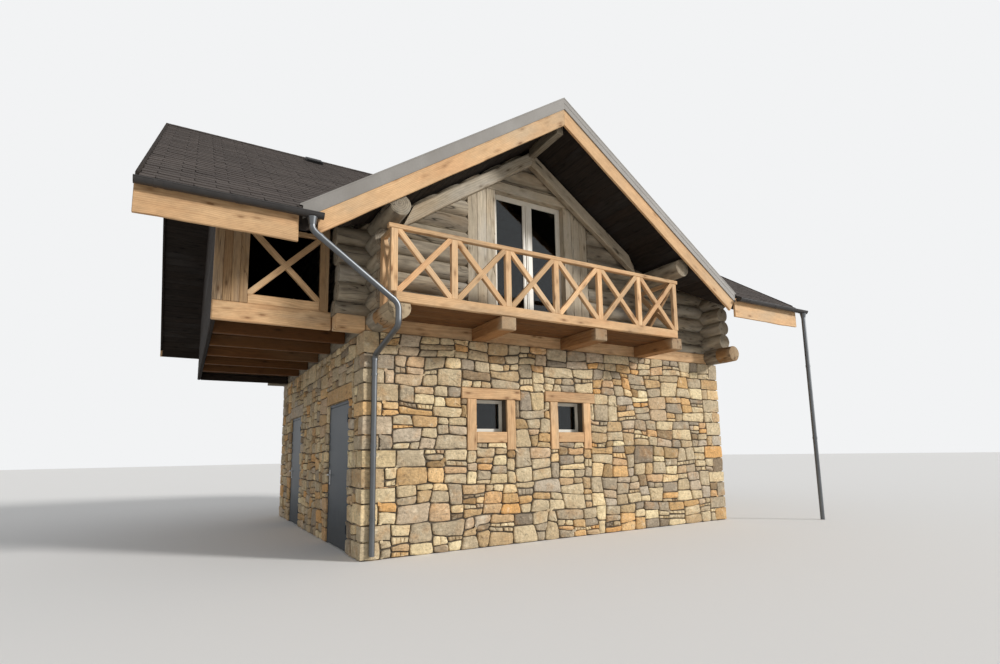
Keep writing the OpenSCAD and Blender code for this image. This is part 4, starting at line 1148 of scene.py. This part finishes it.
for side, outlet_x, neck, past in ((-1, FOOT_LEFT + 0.13, 0.13, 4.32), (1, ROOF_LEFT + 0.9, 0.3374, 3.78)):
    gutter_y, past_y, wall_y = side * -GUTTER_Y, side * past, side * (NORTH + WALL_GAP)
    line = [Vector(p) for p in (
        (outlet_x, gutter_y, OUTLET_Z - 0.05), (outlet_x, gutter_y, OUTLET_Z - neck), (PIPE_X, past_y, 3.164),
        (PIPE_X, past_y, 2.889), (PIPE_X, wall_y, 2.679), (PIPE_X, wall_y, 0.06))]
    add_tube(pipes, rounded(line), PIPE_R)
    funnel(outlet_x, gutter_y)
    down = (line[2] - line[1]).normalized()
    for start in (line[1] + down * 0.09, line[2] - down * 0.10):
        rod(pipes, start, start + down * 0.035, PIPE_R + 0.004, sides=20)
    collars(PIPE_X, wall_y, (2.60, 1.32))
    clips = (0.5, 1.45, 2.4)
    collars(PIPE_X, wall_y, clips, 0.03, 0.006)
    for z in clips:
        rod(pipes, (PIPE_X, wall_y, z + 0.015), (PIPE_X, side * NORTH, z + 0.015), 0.008, sides=10)
STRAIGHT_X = ROOF_RIGHT + 0.125
add_tube(pipes, [(STRAIGHT_X, GUTTER_Y, OUTLET_Z - 0.05), (STRAIGHT_X, GUTTER_Y, 0.0)], PIPE_R)
funnel(STRAIGHT_X, GUTTER_Y)
collars(STRAIGHT_X, GUTTER_Y, (2.9, 1.5))
piece("rain_pipes", pipes, finish("pipe_metal", pipe_look, {"Metallic": 0.8}), "pipe_metal",
      "downpipes", sharp=40)

# The balcony rests on three squared corbels, on the dressed log at the left and on its rim beam.
# Its deck is boards along the front, and its larch railing has crossed braces between posts.
RAIL_Y, RAIL_LEFT, RAIL_BAY, BAYS, RIM_TOP, RAIL_TOP = -4.22, -3.46, 0.824, 6, 3.339, 4.211
RAIL_RIGHT = RAIL_LEFT + BAYS * RAIL_BAY
RIM_FRONT, RAIL_T, POST, BRACE, TOP_RAIL, HAND_T, HAND_OUT = -4.26, 0.06, 0.09, 0.075, 0.06, 0.076, 0.035
UNDER_RAIL = RAIL_TOP - TOP_RAIL
# The deck, the bay's joists and its floor boards are dark brown: partly their own brown stain, partly painted
# shade of the undersides seen from below.
brown_and_shaded = wood("brown_boards_painted_shade", "#4e321c", "#7b5531", "#32200f", "#744723", "#66543f", dapple=0.5, rough=0.72)
corbel_wood = wood("corbel_wood", "#76502f", "#ad8053", "#4c301a", "#9c6a40", "#8f7c63", dapple=0.5,
                   cracks=0.5, rough=0.72, worn=-4.10)
corbels = new_mesh()
for i in (2, 4, 6):
    x = RAIL_LEFT + i * RAIL_BAY
    timber(corbels, (x - 0.12, RAIL_Y - 0.015, STONE_TOP), (x + 0.12, SOUTH, DECK_LOW),
           ease=0.01, cuts=3, ragged=0.006)
piece("corbels", corbels, corbel_wood, "planed_wood", "balcony_corbels")
deck = new_mesh()
DECK_BOARDS, DECK_T = 6, 0.09
DECK_LEFT, DECK_RIGHT, DECK_FRONT = WEST + FLOOR_IN, RAIL_RIGHT + 0.03, RAIL_Y + 0.032
board_w = (SOUTH - 0.002 - DECK_FRONT) / DECK_BOARDS
for i in range(DECK_BOARDS):
    y = DECK_FRONT + i * board_w
    timber(deck, (DECK_LEFT, y + 0.002, DECK_LOW), (DECK_RIGHT, y + board_w - 0.002, DECK_LOW + DECK_T),
           ease=0.006, cuts=6, ragged=0.002)
piece("balcony_boards", deck, brown_and_shaded, "planed_wood", "balcony_deck")
rim = new_mesh()
timber(rim, (RAIL_LEFT + 0.02, RIM_FRONT, DECK_LOW), (RAIL_RIGHT + 0.015, RAIL_Y + 0.03, RIM_TOP),
       ease=0.008, cuts=14, ragged=0.006)
piece("balcony_rim_beam", rim, larch, "planed_wood", "balcony_rim")


def brace_pair(mesh, xa, xb, za, zb, y, turn=Matrix()):
    """Two crossed braces halved into each other, sawn off at the posts and rails round them."""
    middle, half = Vector(((xa + xb) / 2, y, (za + zb) / 2)), math.hypot(xb - xa, zb - za) / 2 + 0.1
    saws = [(turn @ p, turn.to_3x3() @ n) for p, n in (at_x(xa, -1), at_x(xb, 1), at_z(za, -1), at_z(zb, 1))]
    for lean, thin in ((-1, 0.0), (1, 0.002)):
        angle = math.atan2(zb - za + 0.064 - POST * 0.4, xb - xa + 0.06 - POST * 0.4) * lean
        timber(mesh, (-half, -RAIL_T / 2 + thin, -BRACE / 2), (half, RAIL_T / 2 - thin, BRACE / 2),
               turn @ Matrix.Translation(middle) @ turned(angle, "Y"), cuts=2, ragged=0.002, saws=saws)


railing = new_mesh()
for i in range(BAYS + 1):
    x = RAIL_LEFT + i * RAIL_BAY
    timber(railing, (x - POST / 2, RAIL_Y - RAIL_T / 2, RIM_TOP),
           (x + POST / 2, RAIL_Y + RAIL_T / 2, UNDER_RAIL), ease=0.005, cuts=2, ragged=0.002)
    if i < BAYS:
        brace_pair(railing, x + POST / 2, x + RAIL_BAY - POST / 2, RIM_TOP, UNDER_RAIL, RAIL_Y)
timber(railing, (RAIL_LEFT - POST / 2 - HAND_OUT, RAIL_Y - HAND_T / 2, UNDER_RAIL),
       (RAIL_RIGHT + POST / 2 + HAND_OUT, RAIL_Y + HAND_T / 2, RAIL_TOP), ease=0.007, cuts=14, ragged=0.003)
piece("balcony_rails", railing, larch, "planed_wood", "balcony_railing")
returns = new_mesh()
ahead = RAIL_Y + 0.033
for end, base, back in ((RAIL_LEFT, DECK_LOW, SOUTH - 0.395),
                        (RAIL_RIGHT, DECK_LOW + DECK_T, SOUTH - 0.002)):
    x, foot = end + POST / 2 - RAIL_T, base + 0.04
    timber(returns, (x, ahead, UNDER_RAIL), (x + RAIL_T, back, RAIL_TOP), ease=0.005)
    timber(returns, (x, back - POST, base), (x + RAIL_T, back, UNDER_RAIL), ease=0.005)
    timber(returns, (x, ahead, base), (x + RAIL_T, back - POST, foot))
    brace_pair(returns, ahead, back - POST, foot, UNDER_RAIL, 0,
               moved(x + RAIL_T / 2, 0, 0) @ turned(math.pi / 2, "Z"))
piece("balcony_return_rails", returns, larch, "planed_wood", "balcony_returns")

# The bay is a boarded box that hangs over the service doors: joists and boards below, dark
# weatherboards at its outer end and rear, and a broad corner post and a braced rail in front.
BAY_X, BAY_Y, BAY_BACK, BAY_Z, RIM_H, JOIST_H, WALL_T = -5.38, -3.07, 3.025, 3.04, 0.245, 0.17, 0.06
FRONT_T, RIM_RIGHT, SLIM_X, SLIM_W, POST_WIDE, POST_TOP = 0.08, WEST - 0.397, -4.099, 0.115, 0.395, 5.2
BAY_IN, AT_WALL, JOIST_TOP, SILL_Z = BAY_X + WALL_T, WEST - 0.001, BAY_Z + JOIST_H, BAY_Z + RIM_H
joists = new_mesh()
FIRST_JOIST, JOIST_PITCH, JOIST_W, FLOOR_PLANK, WEATHERBOARD = 0.87, 0.95, 0.09, 0.14, 0.15
for i in range(5):
    y = BAY_Y + FIRST_JOIST + i * JOIST_PITCH
    timber(joists, (BAY_IN, y - JOIST_W / 2, BAY_Z), (AT_WALL, y + JOIST_W / 2, JOIST_TOP),
           ease=0.006, cuts=3, ragged=0.003)
piece("bay_joist_set", joists, brown_and_shaded, "planed_wood", "bay_joists")
underside = new_mesh()
for x in steps(BAY_IN, WEST - 0.01, FLOOR_PLANK):
    timber(underside, (x + 0.001, BAY_Y + FRONT_T, JOIST_TOP),
           (min(x + FLOOR_PLANK - 0.001, AT_WALL), BAY_BACK - WALL_T, JOIST_TOP + 0.06), ease=0.005)
piece("bay_floor_boards", underside, brown_and_shaded, "planed_wood", "bay_floor")
bay_rim = new_mesh()
timber(bay_rim, (BAY_X, BAY_Y, BAY_Z), (RIM_RIGHT, BAY_Y + FRONT_T, SILL_Z), ease=0.012, cuts=7, ragged=0.004)
piece("bay_rim_beam", bay_rim, larch, "planed_wood", "bay_rim")
for name, node, (xa, xb), (ya, yb), top, saws, plain in (
        ("bay_end_boards", "bay_side_wall", (BAY_X, BAY_IN), (BAY_Y + FRONT_T, BAY_BACK), 7.0,
         MAIN_SAWS, 4.3),
        ("bay_rear_boards", "bay_rear_wall", (BAY_IN, AT_WALL), (BAY_BACK - WALL_T, BAY_BACK), 4.8,
         MAIN_SAWS[1:], 0)):
    boards = new_mesh()
    for z in steps(BAY_Z, top, WEATHERBOARD):
        timber(boards, (xa, ya, z), (xb, yb, z + WEATHERBOARD - 0.002), ease=0.012,
               saws=saws if z > plain else [])
    piece(name, boards, tarred_and_shaded, "dark_boards", node)

# The corner post's boards are a darker copy of the larch: painted shade of the eave above them.
shaded_post_larch = wood("shaded_post_larch", "#7a6047", "#b5946c", "#533823", "#966f4a", "#978a78", dapple=0.6,
                 cracks=0.5, rough=0.72)
bay_posts = new_mesh()
PLANK_JOINTS, slim = (0, 0.11, 0.205, 0.30, POST_WIDE), SLIM_X - BAY_X
planks = [(a, b - 0.001) for a, b in zip(PLANK_JOINTS, PLANK_JOINTS[1:])] + [(slim, slim + SLIM_W)]
for a, b in planks:
    timber(bay_posts, (BAY_X + a, BAY_Y, SILL_Z), (BAY_X + b, BAY_Y + FRONT_T, POST_TOP), ease=0.006,
           saws=MAIN_SAWS[:1])
piece("bay_front_posts", bay_posts, shaded_post_larch, "planed_wood", "bay_posts")
bay_rail = new_mesh()
BOTTOM_RAIL, RAIL_UNDER, RAIL_OVER = 0.125, 1.015, 1.075
xa, xb, rail_y = BAY_X + POST_WIDE + 0.001, SLIM_X - 0.001, BAY_Y + FRONT_T / 2
for low, high in ((0, BOTTOM_RAIL), (RAIL_UNDER, RAIL_OVER)):
    timber(bay_rail, (xa, rail_y - RAIL_T / 2, SILL_Z + low), (xb, rail_y + RAIL_T / 2, SILL_Z + high),
           ease=0.006, cuts=3, ragged=0.003)
brace_pair(bay_rail, xa, xb, SILL_Z + BOTTOM_RAIL, SILL_Z + RAIL_UNDER, rail_y)
piece("bay_brace_rail", bay_rail, larch, "planed_wood", "bay_railing")

# A low roof vent sits on the front slope near the ridge. It is a dark box moulded of plastic, with
# slats in its lower face, and is fixed down over the shingles.
def vent_look(s):
    return paint("#161515"), 0.6 + place(s).cloud(20) * 0.2, None


VENT_X, VENT_DOWN, VENT_W, VENT_L, VENT_H = WEST - 0.19, 0.34, 0.29, 0.28, 0.055
vent = bmesh.new()
bmesh.ops.create_cube(vent, size=1, matrix=moved(0, 0, 0.015) @ sized(VENT_W, VENT_L, VENT_H))
bmesh.ops.bevel(vent, geom=vent.edges[:], offset=0.010, segments=2, profile=0.5, affect="EDGES", material=-1)
for i in range(3):
    bmesh.ops.create_cube(vent, size=1, matrix=moved(0, -VENT_L / 2 - 0.002, 0.006 + i * 0.013)
                          @ turned(0.5, "X") @ sized(VENT_W - 0.04, 0.012, 0.005))
bmesh.ops.transform(vent, verts=vent.verts,
                    matrix=moved(VENT_X, -VENT_DOWN, RIDGE - VENT_DOWN * SLOPE) @ turned(PITCH, "X"))
piece("vent_box", vent, finish("vent_plastic", vent_look), "vent_metal", "roof_vent")

for data in (spare, tab_mesh):
    bpy.data.meshes.remove(data)
low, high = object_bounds()
{"cad": [list(cad_low), list(cad_high)], "visual": [list(low), list(high)]}
